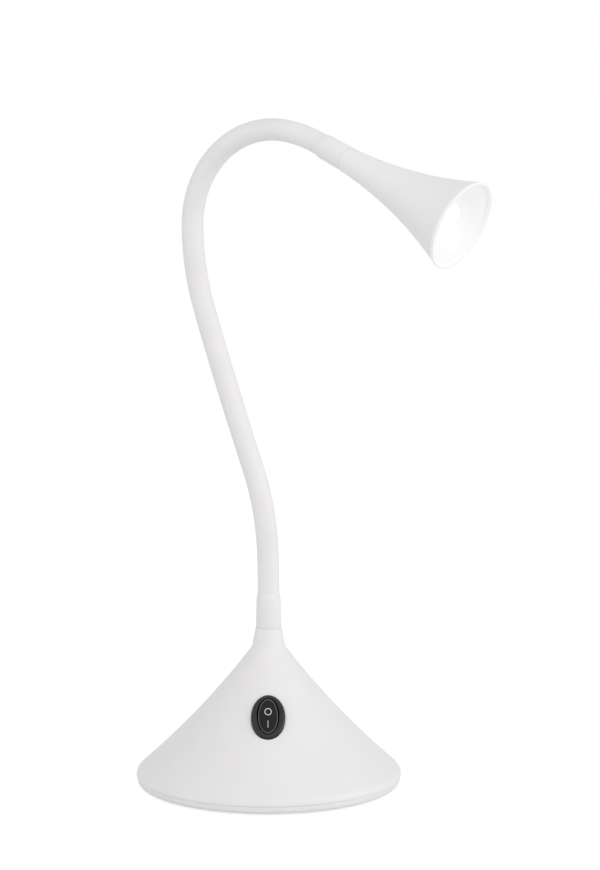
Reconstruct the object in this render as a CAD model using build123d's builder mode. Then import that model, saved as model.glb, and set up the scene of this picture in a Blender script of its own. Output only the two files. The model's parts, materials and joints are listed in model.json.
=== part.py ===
from build123d import *
import os
from math import asin, cos, degrees, radians, sin

# Desk lamp: a conical base with a rocker switch, a bendable gooseneck arm and a trumpet-shaped LED head.
# Millimetres, +Z up. The origin is the centre of the base's underside and the switch faces -Y.

# Clearances
FIT_CLEARANCE = 0.1
TURN_CLEARANCE = 0.05
JOINT_GAP = 0.3
CUT_OVERRUN = 5.0

# Base stack from the table up
PAD_THICKNESS = 0.8
PAD_MARGIN = 8.6
PAD_HOLE_RADIUS = 4.2
PLATE_THICKNESS = 3.85
PLATE_FLOOR = 2.2
PLATE_INSET = 0.4
PLATE_EDGE_ROUND = 2.6
SPIGOT_WALL = 1.6
SPIGOT_HEIGHT_SHARE = 0.65
SEAM_CHAMFER = 0.3

# Base cone
BASE_RADIUS = 62.6
RIM_HEIGHT = 2.5
RIM_ROUND = 1.6
CONE_SAG = 2.1
SHELL_WALL = 2.2
NECK_TOP = 75.2
NECK_LENGTH = 9.0
NECK_RADIUS = 6.15
NECK_FOOT_RADIUS = 7.85
NECK_FILLET = 6.0
NECK_EDGE_ROUND = 0.4
NECK_SOLID_LENGTH = 16.0

# Screws that hold the base plate
SCREW_COUNT = 3
SCREW_RING_SHARE = 0.735
SCREW_START_ANGLE = -90.0
SCREW_RADIUS = 1.3
SCREW_LENGTH = 12.0
SCREW_HEAD_RADIUS = 2.9
COUNTERSINK_ANGLE = 90.0
BOSS_RADIUS = 3.6
GUSSET_THICKNESS = 1.6

# Ballast and driver
BALLAST_THICKNESS = 8.0
BALLAST_EDGE = 0.8
BALLAST_MARGIN = 1.0
POST_RADIUS = 3.0
POST_HEIGHT = 14.0
BOARD_LENGTH = 46.0
BOARD_WIDTH = 26.0
BOARD_THICKNESS = 1.6
BOARD_OFFSET = 17.0
BOARD_CORNER = 2.0
POST_SPACING_SHARE = 0.84
BOARD_SCREW_RADIUS = 1.1
BOARD_SCREW_LENGTH = 7.0
BOARD_SCREW_HEAD_RADIUS = 2.1
BOARD_SCREW_HEAD_HEIGHT = 1.4
TRANSFORMER_SIZE = 15.0
TRANSFORMER_HEIGHT = 12.0
TRANSFORMER_CORE_LIP = 1.6
TRANSFORMER_PLACE_SHARES = (0.0, -0.04)
CAPACITOR_RADIUS = 4.0
CAPACITOR_HEIGHT = 11.0
CAPACITOR_EDGE = 0.6
CAPACITOR_PLACE_SHARES = (0.3, -0.24)
TERMINAL_BLOCK_LENGTH = 10.0
TERMINAL_BLOCK_WIDTH = 8.0
TERMINAL_BLOCK_HEIGHT = 9.0
TERMINAL_BLOCK_STEP = 3.0
TERMINAL_WELL_RADIUS = 1.5
TERMINAL_WELL_DEPTH = 4.0
TERMINAL_BLOCK_PLACE_SHARES = (-0.30, -0.30)

# Cord bush at the back of the cone
CORD_BORE_RADIUS = 3.0
CORD_BUSH_RADIUS = 4.4
CORD_BUSH_HEIGHT = 12.6
CORD_BUSH_FLANGE_RADIUS = 5.8
CORD_BUSH_FLANGE_THICKNESS = 1.6
CORD_BUSH_LENGTH = 18.0
CORD_BUSH_ROUND = 0.8

# Rocker switch, on a seat cut into the front of the cone
SWITCH_HEIGHT = 38.75
SEAT_RECESS = 0.8
BEZEL_HALF_WIDTH = 8.0
BEZEL_HALF_LENGTH = 11.5
BEZEL_THICKNESS = 2.2
BEZEL_ROUND = 1.3
BEZEL_LIP_ROUND = 0.4
HOUSING_HALF_WIDTH = 6.6
HOUSING_HALF_LENGTH = 10.4
HOUSING_DEPTH = 13.0
SEAT_CLEARANCE = 0.3
TAB_REACH = 0.9
TAB_LENGTH = 5.0
TAB_WIDTH = 6.0
ROCKER_HALF_WIDTH = 4.6
ROCKER_HALF_LENGTH = 9.0
ROCKER_GAP = 0.5
ROCKER_TILT_ANGLE = 9.0
ROCKER_CROWN = 4.7
ROCKER_DISH = 0.7
ROCKER_KEEL = 3.0
ROCKER_EDGE = 0.3
ROCKER_TOP_HALF_LENGTH = 8.3
ROCKER_BARREL_MARGIN = 0.6
PIVOT_DEPTH = 3.4
PIVOT_RADIUS = 1.1
PIVOT_REACH = 0.9
WELL_ROOM = 0.7
BLADE_WIDTH = 4.8
BLADE_THICKNESS = 0.8
BLADE_LENGTH = 8.0
BLADE_ROOT = 3.0
BLADE_SPACING_SHARE = 0.5
BLADE_HOLE_RADIUS = 0.9

# Gooseneck arm: it rises from the neck, then each section bends by its own angle in one upright plane
ARM_AZIMUTH_ANGLE = -33.3
ARM_RADIUS = 5.1
SLEEVE_WALL = 1.35
HOSE_RADIUS = 3.6
HOSE_BORE_RADIUS = 1.9
LEAD_RADIUS = 1.4
FLEX_LENGTH = 274.8
STATION_COUNT = 7
SECTION_BEND_ANGLES = (-2.9, -18.8, 1.1, 1.6, 18.8, 49.3, 48.8, 16.8)
BALL_RADIUS = 6.3
FERRULE_SOCKET_LENGTH = 10.0
FERRULE_FLOOR = 2.0
FERRULE_WALL = 0.95
LOWER_BOOT_RADIUS = 6.0
LOWER_BOOT_LENGTH = 13.0
UPPER_BOOT_RADIUS = 5.85
UPPER_BOOT_LENGTH = 11.5
BOOT_SWELL = 0.6
BOOT_SHOULDER = 4.5
LOWER_STUB_RADIUS = 4.0
UPPER_STUB_RADIUS = 3.0
LOWER_NUT_FLATS = 13.0
LOWER_NUT_THICKNESS = 5.0
UPPER_NUT_FLATS = 9.6
UPPER_NUT_THICKNESS = 4.0
NUT_CHAMFER = 0.5
WASHER_THICKNESS = 1.2
STUB_TAIL = 2.0
LEAD_DROP = 12.0
LEAD_BEND_RADIUS = 3.5

# Trumpet head, measured along its axis from the seam with the arm to the mouth
HEAD_LENGTH = 67.3
HEAD_SEAM_RADIUS = 5.9
MOUTH_RADIUS = 21.6
FLARE_SAG = 3.1
HEAD_WALL = 1.8
HEAD_SOLID_LENGTH = 22.0
LIP_WIDTH = 2.2
LIP_DEPTH = 2.2
MOUTH_ROUND = 0.5
REFLECTOR_FLANGE = 1.7
REFLECTOR_WALL = 1.0
REFLECTOR_MARGIN = 1.1
BOWL_MARGIN = 0.35
BOWL_DEPTH = 8.0
BOWL_SAG = 0.6
APERTURE_RADIUS = 6.5
APERTURE_EDGE = 0.8
LENS_LEDGE = 1.1
LENS_THICKNESS = 1.5
LENS_PROUD = 1.0
LENS_DOME = 0.8
LED_BOARD_MARGIN = 0.3
LED_BOARD_THICKNESS = 1.0
LED_BOARD_SETBACK = 0.8
LED_CHIP_SIZE = 5.0
LED_CHIP_THICKNESS = 0.6
LED_SCREW_SPACING = 11.0
LED_SCREW_RADIUS = 0.9
LED_SCREW_HEAD_RADIUS = 1.2
LED_SCREW_HEAD_HEIGHT = 0.5
LED_SCREW_DEPTH = 1.5
SINK_PLATE = 2.0
SINK_STEM_RADIUS = 5.0
SINK_STEM_GAP = 10.0
FIN_COUNT = 8
FIN_RADIUS = 8.8
FIN_LENGTH = 11.0
FIN_THICKNESS = 1.2

os.makedirs("parts", exist_ok=True)


def keep(piece, name):
    """Labels a finished piece and writes it as its own file."""
    piece.part.label = name
    export_step(piece.part, f"parts/{name}.step")


# Heights in the base
PLATE_BOTTOM = PAD_THICKNESS
FLOOR_TOP = PLATE_BOTTOM + PLATE_FLOOR
SEAM_HEIGHT = PLATE_BOTTOM + PLATE_THICKNESS
NECK_SEAT = NECK_TOP - NECK_SOLID_LENGTH
SCREW_RING_RADIUS = BASE_RADIUS * SCREW_RING_SHARE

# The cone's outline: a shallow concave arc from the foot of the neck to the rim
neck_foot = Vector(NECK_FOOT_RADIUS, NECK_TOP - NECK_LENGTH)
rim_top = Vector(BASE_RADIUS, SEAM_HEIGHT + RIM_HEIGHT)
cone_run = (rim_top - neck_foot).normalized()
cone_inward = Vector(cone_run.Y, -cone_run.X)
inner_neck_foot = neck_foot + cone_inward * SHELL_WALL
inner_rim_top = rim_top + cone_inward * SHELL_WALL
SPIGOT_RADIUS = inner_rim_top.X - FIT_CLEARANCE
SPIGOT_TOP = SEAM_HEIGHT + (inner_rim_top.Y - SEAM_HEIGHT) * SPIGOT_HEIGHT_SHARE

# The point of the outline where the switch sits, and the slope of the cone there
cone_chord = rim_top - neck_foot
cone_radius = (cone_chord.length / 2) ** 2 / (2 * CONE_SAG) + CONE_SAG / 2
cone_centre = (neck_foot + rim_top) / 2 - cone_inward * (cone_radius - CONE_SAG)
switch_slope = degrees(asin((cone_centre.Y - SWITCH_HEIGHT) / cone_radius))
SWITCH_RADIUS = cone_centre.X - cone_radius * cos(radians(switch_slope))

switch_plane = Plane(
    origin=(0, -SWITCH_RADIUS, SWITCH_HEIGHT),
    x_dir=(1, 0, 0),
    z_dir=(0, -cos(radians(switch_slope)), sin(radians(switch_slope))),
)
seat_plane = switch_plane.offset(-SEAT_RECESS)

# The cord bush lies level at the back, with its nose in line with the rim
cord_nose = Plane(origin=(0, BASE_RADIUS, CORD_BUSH_HEIGHT), x_dir=(1, 0, 0), z_dir=(0, 1, 0))
cord_seat = cord_nose.offset(CORD_BUSH_FLANGE_THICKNESS - CORD_BUSH_LENGTH)
CORD_SOCKET_RADIUS = CORD_BUSH_RADIUS + GUSSET_THICKNESS

# Hollow of the cone, less the screw bosses, their gussets and the socket of the cord bush
with BuildPart() as base_cavity:
    with BuildSketch(Plane.XZ):
        with BuildLine():
            Polyline(
                (0, inner_neck_foot.Y),
                (0, SEAM_HEIGHT),
                (inner_rim_top.X, SEAM_HEIGHT),
                inner_rim_top,
            )
            SagittaArc(inner_rim_top, inner_neck_foot, CONE_SAG)
            Line(inner_neck_foot, (0, inner_neck_foot.Y))
        make_face()
        with Locations((0, SEAM_HEIGHT)):
            Rectangle(
                BASE_RADIUS,
                NECK_SEAT - SEAM_HEIGHT,
                align=(Align.MIN, Align.MIN),
                mode=Mode.INTERSECT,
            )
    revolve(axis=Axis.Z)
    with BuildSketch(Plane.XY.offset(SEAM_HEIGHT)):
        with PolarLocations(SCREW_RING_RADIUS, SCREW_COUNT, start_angle=SCREW_START_ANGLE):
            Circle(BOSS_RADIUS)
    extrude(amount=NECK_TOP, mode=Mode.SUBTRACT)
    with BuildSketch(Plane.XY.offset(SPIGOT_TOP + GUSSET_THICKNESS)):
        with PolarLocations(SCREW_RING_RADIUS, SCREW_COUNT, start_angle=SCREW_START_ANGLE):
            Rectangle(BASE_RADIUS, GUSSET_THICKNESS, align=(Align.MIN, Align.CENTER))
    extrude(amount=NECK_TOP, mode=Mode.SUBTRACT)
    with BuildSketch(cord_seat):
        Circle(CORD_SOCKET_RADIUS)
    extrude(amount=CORD_BUSH_LENGTH, mode=Mode.SUBTRACT)

with BuildPart() as base_cone:
    with BuildSketch(Plane.XZ) as cone_outline:
        with BuildLine():
            Polyline((0, NECK_TOP), (0, SEAM_HEIGHT), (BASE_RADIUS, SEAM_HEIGHT), rim_top)
            SagittaArc(rim_top, neck_foot, CONE_SAG)
            Polyline(neck_foot, (NECK_RADIUS, NECK_TOP), (0, NECK_TOP))
        make_face()
        fillet(cone_outline.vertices().sort_by_distance(rim_top)[0], RIM_ROUND)
        fillet(cone_outline.vertices().sort_by_distance(neck_foot)[0], NECK_FILLET)
        neck_edge = cone_outline.vertices().sort_by_distance((NECK_RADIUS, NECK_TOP))[0]
        fillet(neck_edge, NECK_EDGE_ROUND)
        seam_edge = cone_outline.vertices().sort_by_distance((BASE_RADIUS, SEAM_HEIGHT))[0]
        chamfer(seam_edge, SEAM_CHAMFER)
    revolve(axis=Axis.Z)
    add(base_cavity.part, mode=Mode.SUBTRACT)
    with BuildSketch(Plane.XY.offset(FLOOR_TOP)):
        with PolarLocations(SCREW_RING_RADIUS, SCREW_COUNT, start_angle=SCREW_START_ANGLE):
            Circle(BOSS_RADIUS)
    extrude(amount=SEAM_HEIGHT - FLOOR_TOP)
    with BuildSketch(Plane.XY.offset(FLOOR_TOP)):
        with PolarLocations(SCREW_RING_RADIUS, SCREW_COUNT, start_angle=SCREW_START_ANGLE):
            Circle(SCREW_RADIUS + TURN_CLEARANCE)
    extrude(amount=SCREW_LENGTH, mode=Mode.SUBTRACT)
    with BuildSketch(Plane.XY.offset(NECK_TOP)):
        Circle(LOWER_STUB_RADIUS + FIT_CLEARANCE)
    extrude(amount=-NECK_SOLID_LENGTH - CUT_OVERRUN, mode=Mode.SUBTRACT)
    with BuildSketch(cord_nose):
        Circle(CORD_BUSH_RADIUS + FIT_CLEARANCE)
    extrude(amount=-CORD_BUSH_LENGTH, mode=Mode.SUBTRACT)
    with BuildSketch(seat_plane):
        Ellipse(BEZEL_HALF_WIDTH + SEAT_CLEARANCE, BEZEL_HALF_LENGTH + SEAT_CLEARANCE)
    extrude(amount=CUT_OVERRUN, mode=Mode.SUBTRACT)
    with BuildSketch(seat_plane):
        Ellipse(HOUSING_HALF_WIDTH + SEAT_CLEARANCE, HOUSING_HALF_LENGTH + SEAT_CLEARANCE)
    extrude(amount=-HOUSING_DEPTH, mode=Mode.SUBTRACT)
keep(base_cone, "base_cone")

with BuildPart() as foot_pad:
    with BuildSketch():
        Circle(BASE_RADIUS - PAD_MARGIN)
        with PolarLocations(SCREW_RING_RADIUS, SCREW_COUNT, start_angle=SCREW_START_ANGLE):
            Circle(PAD_HOLE_RADIUS, mode=Mode.SUBTRACT)
    extrude(amount=PAD_THICKNESS)
keep(foot_pad, "foot_pad")

# Base plate: a shallow tray with a spigot that centres the cone and two posts for the driver board
PLATE_RADIUS = BASE_RADIUS - PLATE_INSET
POST_TOP = FLOOR_TOP + POST_HEIGHT
post_places = [(side * BOARD_LENGTH * POST_SPACING_SHARE / 2, BOARD_OFFSET) for side in (-1, 1)]
with BuildPart() as base_plate:
    with BuildSketch(Plane.XZ) as plate_outline:
        with BuildLine():
            Polyline(
                (0, PLATE_BOTTOM),
                (PLATE_RADIUS, PLATE_BOTTOM),
                (PLATE_RADIUS, SEAM_HEIGHT),
                (SPIGOT_RADIUS, SEAM_HEIGHT),
                (SPIGOT_RADIUS, SPIGOT_TOP),
                (SPIGOT_RADIUS - SPIGOT_WALL, SPIGOT_TOP),
                (SPIGOT_RADIUS - SPIGOT_WALL, FLOOR_TOP),
                (0, FLOOR_TOP),
                close=True,
            )
        make_face()
        foot_edge = plate_outline.vertices().sort_by_distance((PLATE_RADIUS, PLATE_BOTTOM))[0]
        fillet(foot_edge, PLATE_EDGE_ROUND)
        top_edge = plate_outline.vertices().sort_by_distance((PLATE_RADIUS, SEAM_HEIGHT))[0]
        chamfer(top_edge, SEAM_CHAMFER)
    revolve(axis=Axis.Z)
    with BuildSketch(Plane.XY.offset(FLOOR_TOP)):
        with Locations(*post_places):
            Circle(POST_RADIUS)
    extrude(amount=POST_HEIGHT)
    with BuildSketch(Plane.XY.offset(POST_TOP)):
        with Locations(*post_places):
            Circle(BOARD_SCREW_RADIUS + TURN_CLEARANCE)
    extrude(amount=-BOARD_SCREW_LENGTH, mode=Mode.SUBTRACT)
    with Locations(Plane(origin=(0, 0, PLATE_BOTTOM), x_dir=(1, 0, 0), z_dir=(0, 0, -1))):
        with PolarLocations(SCREW_RING_RADIUS, SCREW_COUNT, start_angle=-SCREW_START_ANGLE):
            CounterSinkHole(
                SCREW_RADIUS + FIT_CLEARANCE,
                SCREW_HEAD_RADIUS + FIT_CLEARANCE,
                counter_sink_angle=COUNTERSINK_ANGLE,
            )
keep(base_plate, "base_plate")

# Countersunk screws: the head's cone is as high as it is wide beyond the shank
with BuildPart() as base_screws:
    with BuildSketch(Plane.XZ):
        with BuildLine():
            Polyline(
                (0, PLATE_BOTTOM),
                (SCREW_HEAD_RADIUS, PLATE_BOTTOM),
                (SCREW_RADIUS, PLATE_BOTTOM + SCREW_HEAD_RADIUS - SCREW_RADIUS),
                (SCREW_RADIUS, PLATE_BOTTOM + SCREW_LENGTH - SCREW_RADIUS),
                (0, PLATE_BOTTOM + SCREW_LENGTH),
                close=True,
            )
        make_face()
    screw = revolve(axis=Axis.Z, mode=Mode.PRIVATE)
    with PolarLocations(SCREW_RING_RADIUS, SCREW_COUNT, start_angle=SCREW_START_ANGLE):
        add(screw)
keep(base_screws, "base_screws")

with BuildPart() as ballast:
    with BuildSketch(Plane.XY.offset(FLOOR_TOP)):
        Circle(SCREW_RING_RADIUS - BOSS_RADIUS - BALLAST_MARGIN)
    extrude(amount=BALLAST_THICKNESS)
    chamfer(ballast.edges(), BALLAST_EDGE)
    with BuildSketch(Plane.XY.offset(FLOOR_TOP)):
        with Locations(*post_places):
            Circle(POST_RADIUS + BALLAST_MARGIN)
    extrude(amount=BALLAST_THICKNESS, mode=Mode.SUBTRACT)
keep(ballast, "ballast")

# Driver board on its two posts, with what stands on it
BOARD_TOP = POST_TOP + BOARD_THICKNESS
board_face = Plane(origin=(0, BOARD_OFFSET, BOARD_TOP))


def on_board(shares):
    """A place on the board's face, as shares of the board's length and width from its middle."""
    return (BOARD_LENGTH * shares[0], BOARD_WIDTH * shares[1])


with BuildPart() as driver_board:
    with BuildSketch(board_face):
        RectangleRounded(BOARD_LENGTH, BOARD_WIDTH, BOARD_CORNER)
        with GridLocations(BOARD_LENGTH * POST_SPACING_SHARE, 0, 2, 1):
            Circle(BOARD_SCREW_RADIUS + FIT_CLEARANCE, mode=Mode.SUBTRACT)
    extrude(amount=-BOARD_THICKNESS)
keep(driver_board, "driver_board")

with BuildPart() as board_screws:
    with BuildSketch(board_face):
        with GridLocations(BOARD_LENGTH * POST_SPACING_SHARE, 0, 2, 1):
            Circle(BOARD_SCREW_HEAD_RADIUS)
    extrude(amount=BOARD_SCREW_HEAD_HEIGHT)
    fillet(board_screws.faces().group_by(Axis.Z)[-1].edges(), BOARD_SCREW_HEAD_HEIGHT / 2)
    with BuildSketch(board_face):
        with GridLocations(BOARD_LENGTH * POST_SPACING_SHARE, 0, 2, 1):
            Circle(BOARD_SCREW_RADIUS)
    extrude(amount=-BOARD_SCREW_LENGTH)
keep(board_screws, "board_screws")

# Transformer: a wound bobbin in a square core whose lips stand proud of the winding
with BuildPart() as transformer:
    with BuildSketch(board_face):
        with Locations(on_board(TRANSFORMER_PLACE_SHARES)):
            Rectangle(TRANSFORMER_SIZE, TRANSFORMER_SIZE)
    extrude(amount=TRANSFORMER_CORE_LIP)
    with BuildSketch(board_face):
        with Locations(on_board(TRANSFORMER_PLACE_SHARES)):
            RectangleRounded(
                TRANSFORMER_SIZE - TRANSFORMER_CORE_LIP,
                TRANSFORMER_SIZE - TRANSFORMER_CORE_LIP,
                TRANSFORMER_CORE_LIP,
            )
    extrude(amount=TRANSFORMER_HEIGHT)
    with BuildSketch(board_face.offset(TRANSFORMER_HEIGHT)):
        with Locations(on_board(TRANSFORMER_PLACE_SHARES)):
            Rectangle(TRANSFORMER_SIZE, TRANSFORMER_SIZE)
    extrude(amount=-TRANSFORMER_CORE_LIP)
keep(transformer, "transformer")

with BuildPart() as capacitor:
    with BuildSketch(board_face):
        with Locations(on_board(CAPACITOR_PLACE_SHARES)):
            Circle(CAPACITOR_RADIUS)
    extrude(amount=CAPACITOR_HEIGHT)
    fillet(capacitor.faces().sort_by(Axis.Z)[-1].edges(), CAPACITOR_EDGE)
keep(capacitor, "capacitor")

# Terminal block: stepped, with two screw wells on its upper step
with BuildPart() as terminal_block:
    with BuildSketch(board_face):
        with Locations(on_board(TERMINAL_BLOCK_PLACE_SHARES)):
            Rectangle(TERMINAL_BLOCK_LENGTH, TERMINAL_BLOCK_WIDTH)
    extrude(amount=TERMINAL_BLOCK_HEIGHT)
    block_step = terminal_block.faces().sort_by(Axis.Z)[-1].edges().sort_by(Axis.Y)[-1]
    chamfer(block_step, TERMINAL_BLOCK_STEP)
    with BuildSketch(board_face.offset(TERMINAL_BLOCK_HEIGHT)):
        with Locations(on_board(TERMINAL_BLOCK_PLACE_SHARES)):
            with Locations((0, -TERMINAL_BLOCK_STEP / 2)):
                with GridLocations(TERMINAL_BLOCK_LENGTH / 2, 0, 2, 1):
                    Circle(TERMINAL_WELL_RADIUS)
    extrude(amount=-TERMINAL_WELL_DEPTH, mode=Mode.SUBTRACT)
keep(terminal_block, "terminal_block")

with BuildPart() as cord_bush:
    with BuildSketch(cord_nose):
        Circle(CORD_BUSH_RADIUS)
    extrude(amount=-CORD_BUSH_LENGTH)
    nose_edge = cord_bush.edges().filter_by(GeomType.CIRCLE).sort_by(Axis.Y)[-1]
    fillet(nose_edge, CORD_BUSH_ROUND)
    with BuildSketch(cord_seat):
        Circle(CORD_BUSH_FLANGE_RADIUS)
    extrude(amount=-CORD_BUSH_FLANGE_THICKNESS)
    with BuildSketch(cord_nose):
        Circle(CORD_BORE_RADIUS)
    extrude(amount=-CORD_BUSH_LENGTH, mode=Mode.SUBTRACT)
keep(cord_bush, "cord_bush")

# Rocker switch: a domed oval bezel with its housing behind the wall, and the rocker on two trunnions
bezel_top = seat_plane.offset(BEZEL_THICKNESS)
housing_back = seat_plane.offset(-HOUSING_DEPTH)
pivot = bezel_top.offset(-PIVOT_DEPTH).origin
pivot_plane = Plane(origin=pivot, x_dir=switch_plane.y_dir, z_dir=(1, 0, 0))
ROCKER_SWING = (ROCKER_TOP_HALF_LENGTH**2 + ROCKER_CROWN**2) ** 0.5
ROCKER_BARREL_HALF_WIDTH = ROCKER_HALF_WIDTH + ROCKER_BARREL_MARGIN
dish_growth = (ROCKER_SWING / ROCKER_TOP_HALF_LENGTH) ** 2
ROCKER_DISHED_END = ROCKER_CROWN + ROCKER_DISH * (dish_growth - 1)
tilt = radians(ROCKER_TILT_ANGLE)
TILT_DROP = ROCKER_KEEL * cos(tilt) + ROCKER_HALF_LENGTH * sin(tilt)
WELL_DEPTH = PIVOT_DEPTH + TILT_DROP + WELL_ROOM
PIVOT_HALF_SPAN = ROCKER_HALF_WIDTH + ROCKER_GAP + PIVOT_REACH
TAB_TOP = SHELL_WALL + SEAT_CLEARANCE
blade_places = [(0, side * HOUSING_HALF_LENGTH * BLADE_SPACING_SHARE) for side in (-1, 1)]

with BuildPart() as switch_housing:
    with BuildSketch(seat_plane):
        Ellipse(BEZEL_HALF_WIDTH, BEZEL_HALF_LENGTH)
    extrude(amount=BEZEL_THICKNESS)
    outward = Axis(pivot, switch_plane.z_dir)
    fillet(switch_housing.edges().filter_by(GeomType.ELLIPSE).sort_by(outward)[-1], BEZEL_ROUND)
    with BuildSketch(seat_plane):
        Ellipse(HOUSING_HALF_WIDTH, HOUSING_HALF_LENGTH)
    extrude(amount=-HOUSING_DEPTH)
    with BuildSketch(Plane(origin=seat_plane.origin, x_dir=(1, 0, 0), z_dir=-switch_plane.y_dir)):
        with BuildLine():
            Polyline(
                (0, -TAB_TOP),
                (HOUSING_HALF_WIDTH + TAB_REACH, -TAB_TOP),
                (HOUSING_HALF_WIDTH, -TAB_TOP - TAB_LENGTH),
                (0, -TAB_TOP - TAB_LENGTH),
                close=True,
            )
        make_face()
        mirror(about=Plane.YZ)
    extrude(amount=TAB_WIDTH / 2, both=True)
    with BuildSketch(bezel_top):
        Ellipse(ROCKER_HALF_WIDTH + ROCKER_GAP, ROCKER_HALF_LENGTH + ROCKER_GAP)
    extrude(amount=-WELL_DEPTH, mode=Mode.SUBTRACT)
    lip_edges = switch_housing.edges().filter_by(GeomType.ELLIPSE).group_by(outward)[-1]
    fillet(lip_edges.sort_by(SortBy.LENGTH)[0], BEZEL_LIP_ROUND)
    with BuildSketch(pivot_plane):
        Circle(PIVOT_RADIUS + TURN_CLEARANCE)
    extrude(amount=PIVOT_HALF_SPAN + FIT_CLEARANCE, both=True, mode=Mode.SUBTRACT)
    with BuildSketch(housing_back):
        with Locations(*blade_places):
            Rectangle(BLADE_WIDTH + FIT_CLEARANCE, BLADE_THICKNESS + FIT_CLEARANCE)
    extrude(amount=BLADE_ROOT, mode=Mode.SUBTRACT)
keep(switch_housing, "switch_housing")

# The rocker rests tilted, with its lower half pressed in. Its ends are barrelled about the pivot
rocker_up = switch_plane.y_dir * cos(tilt) + switch_plane.z_dir * sin(tilt)
rocker_side = Plane(origin=pivot, x_dir=rocker_up, z_dir=(1, 0, 0))
rocker_plane = Plane(origin=pivot, x_dir=(1, 0, 0), z_dir=rocker_side.y_dir)
with BuildPart() as switch_rocker:
    with BuildSketch(rocker_plane.offset(-ROCKER_KEEL)):
        Ellipse(ROCKER_HALF_WIDTH, ROCKER_HALF_LENGTH)
    extrude(amount=ROCKER_KEEL + ROCKER_DISHED_END)
    with BuildSketch(rocker_side):
        with BuildLine():
            Polyline(
                (-ROCKER_SWING, ROCKER_DISHED_END),
                (-ROCKER_SWING, -ROCKER_KEEL),
                (ROCKER_SWING, -ROCKER_KEEL),
                (ROCKER_SWING, ROCKER_DISHED_END),
            )
            ThreePointArc(
                (ROCKER_SWING, ROCKER_DISHED_END),
                (0, ROCKER_CROWN - ROCKER_DISH),
                (-ROCKER_SWING, ROCKER_DISHED_END),
            )
        make_face()
    extrude(amount=ROCKER_HALF_WIDTH, both=True, mode=Mode.INTERSECT)
    with BuildSketch(rocker_plane):
        Ellipse(ROCKER_BARREL_HALF_WIDTH, ROCKER_SWING)
        Rectangle(
            ROCKER_BARREL_HALF_WIDTH * 2,
            ROCKER_SWING,
            align=(Align.CENTER, Align.MIN),
            mode=Mode.INTERSECT,
        )
    revolve(axis=Axis(pivot, (1, 0, 0)), mode=Mode.INTERSECT)
    rocker_top = switch_rocker.faces().sort_by(Axis(pivot, rocker_plane.z_dir))[-1]
    fillet(rocker_top.edges(), ROCKER_EDGE)
    with BuildSketch(pivot_plane):
        Circle(PIVOT_RADIUS)
    extrude(amount=PIVOT_HALF_SPAN, both=True)
keep(switch_rocker, "switch_rocker")

with BuildPart() as switch_terminals:
    with BuildSketch(housing_back.offset(BLADE_ROOT)):
        with Locations(*blade_places):
            Rectangle(BLADE_WIDTH, BLADE_THICKNESS)
    extrude(amount=-BLADE_ROOT - BLADE_LENGTH)
    with BuildSketch(Plane(origin=housing_back.offset(-BLADE_LENGTH / 2).origin, x_dir=(1, 0, 0),
                           z_dir=switch_plane.y_dir)):
        Circle(BLADE_HOLE_RADIUS)
    extrude(amount=HOUSING_HALF_LENGTH, both=True, mode=Mode.SUBTRACT)
keep(switch_terminals, "switch_terminals")

# The arm's path lies in one upright plane: local X runs out from the base's axis, local Y runs up
arm_plane = Plane(
    origin=(0, 0, 0),
    x_dir=(cos(radians(ARM_AZIMUTH_ANGLE)), sin(radians(ARM_AZIMUTH_ANGLE)), 0),
    z_dir=(sin(radians(ARM_AZIMUTH_ANGLE)), -cos(radians(ARM_AZIMUTH_ANGLE)), 0),
)
SECTION_LENGTH = FLEX_LENGTH / STATION_COUNT
section_lengths = [SECTION_LENGTH] * (STATION_COUNT + 1)
section_lengths[0] = section_lengths[-1] = SECTION_LENGTH / 2


def heading(lean):
    """Direction of an arm that leans so many degrees outwards from upright, in the arm's plane."""
    return Vector(sin(radians(lean)), cos(radians(lean)))


def advance(point, lean, bend, length):
    """The point and the lean at the end of a stretch that bends evenly."""
    half = radians(bend) / 2
    chord = length * sin(half) / half if half else length
    return point + heading(lean + bend / 2) * chord, lean + bend


def world(point):
    """A point or a direction of the arm's plane in the lamp's own frame."""
    return arm_plane.from_local_coords(point)


def square_plane(point, lean):
    """The plane square to the arm at a point of its path."""
    return Plane(origin=world(point), x_dir=arm_plane.z_dir, z_dir=world(heading(lean)))


def follow(point, lean, bend, length):
    """Carries the open section along a stretch of the path."""
    if bend == 0:
        extrude(amount=length)
        return
    turn = 1 if bend > 0 else -1
    sideways = Vector(heading(lean).Y, -heading(lean).X)
    centre = point + sideways * turn * length / radians(abs(bend))
    revolve(axis=Axis(world(centre), arm_plane.z_dir * -turn), revolution_arc=abs(bend))


LOWER_END_LENGTH = LOWER_BOOT_LENGTH + BOOT_SHOULDER
UPPER_END_LENGTH = UPPER_BOOT_LENGTH + BOOT_SHOULDER
sections = []
arm_tip = Vector(0, NECK_TOP + LOWER_END_LENGTH)
head_lean = 0
for bend, length in zip(SECTION_BEND_ANGLES, section_lengths):
    sections.append((arm_tip, head_lean, bend, length))
    arm_tip, head_lean = advance(arm_tip, head_lean, bend, length)

base_axis = Vector(0, 0, 1)
neck_top = Vector(0, 0, NECK_TOP)
head_axis = world(heading(head_lean))
head_seam = world(arm_tip) + head_axis * UPPER_END_LENGTH


def profile_plane(origin, direction):
    """A plane for turned profiles: local X is the radius and local Y runs along the direction."""
    return Plane(origin=origin, x_dir=arm_plane.z_dir, z_dir=arm_plane.z_dir.cross(direction))


def cross_plane(origin, direction):
    """The plane square to a direction, with the same local X as the profile plane."""
    return Plane(origin=origin, x_dir=arm_plane.z_dir, z_dir=direction)


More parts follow.
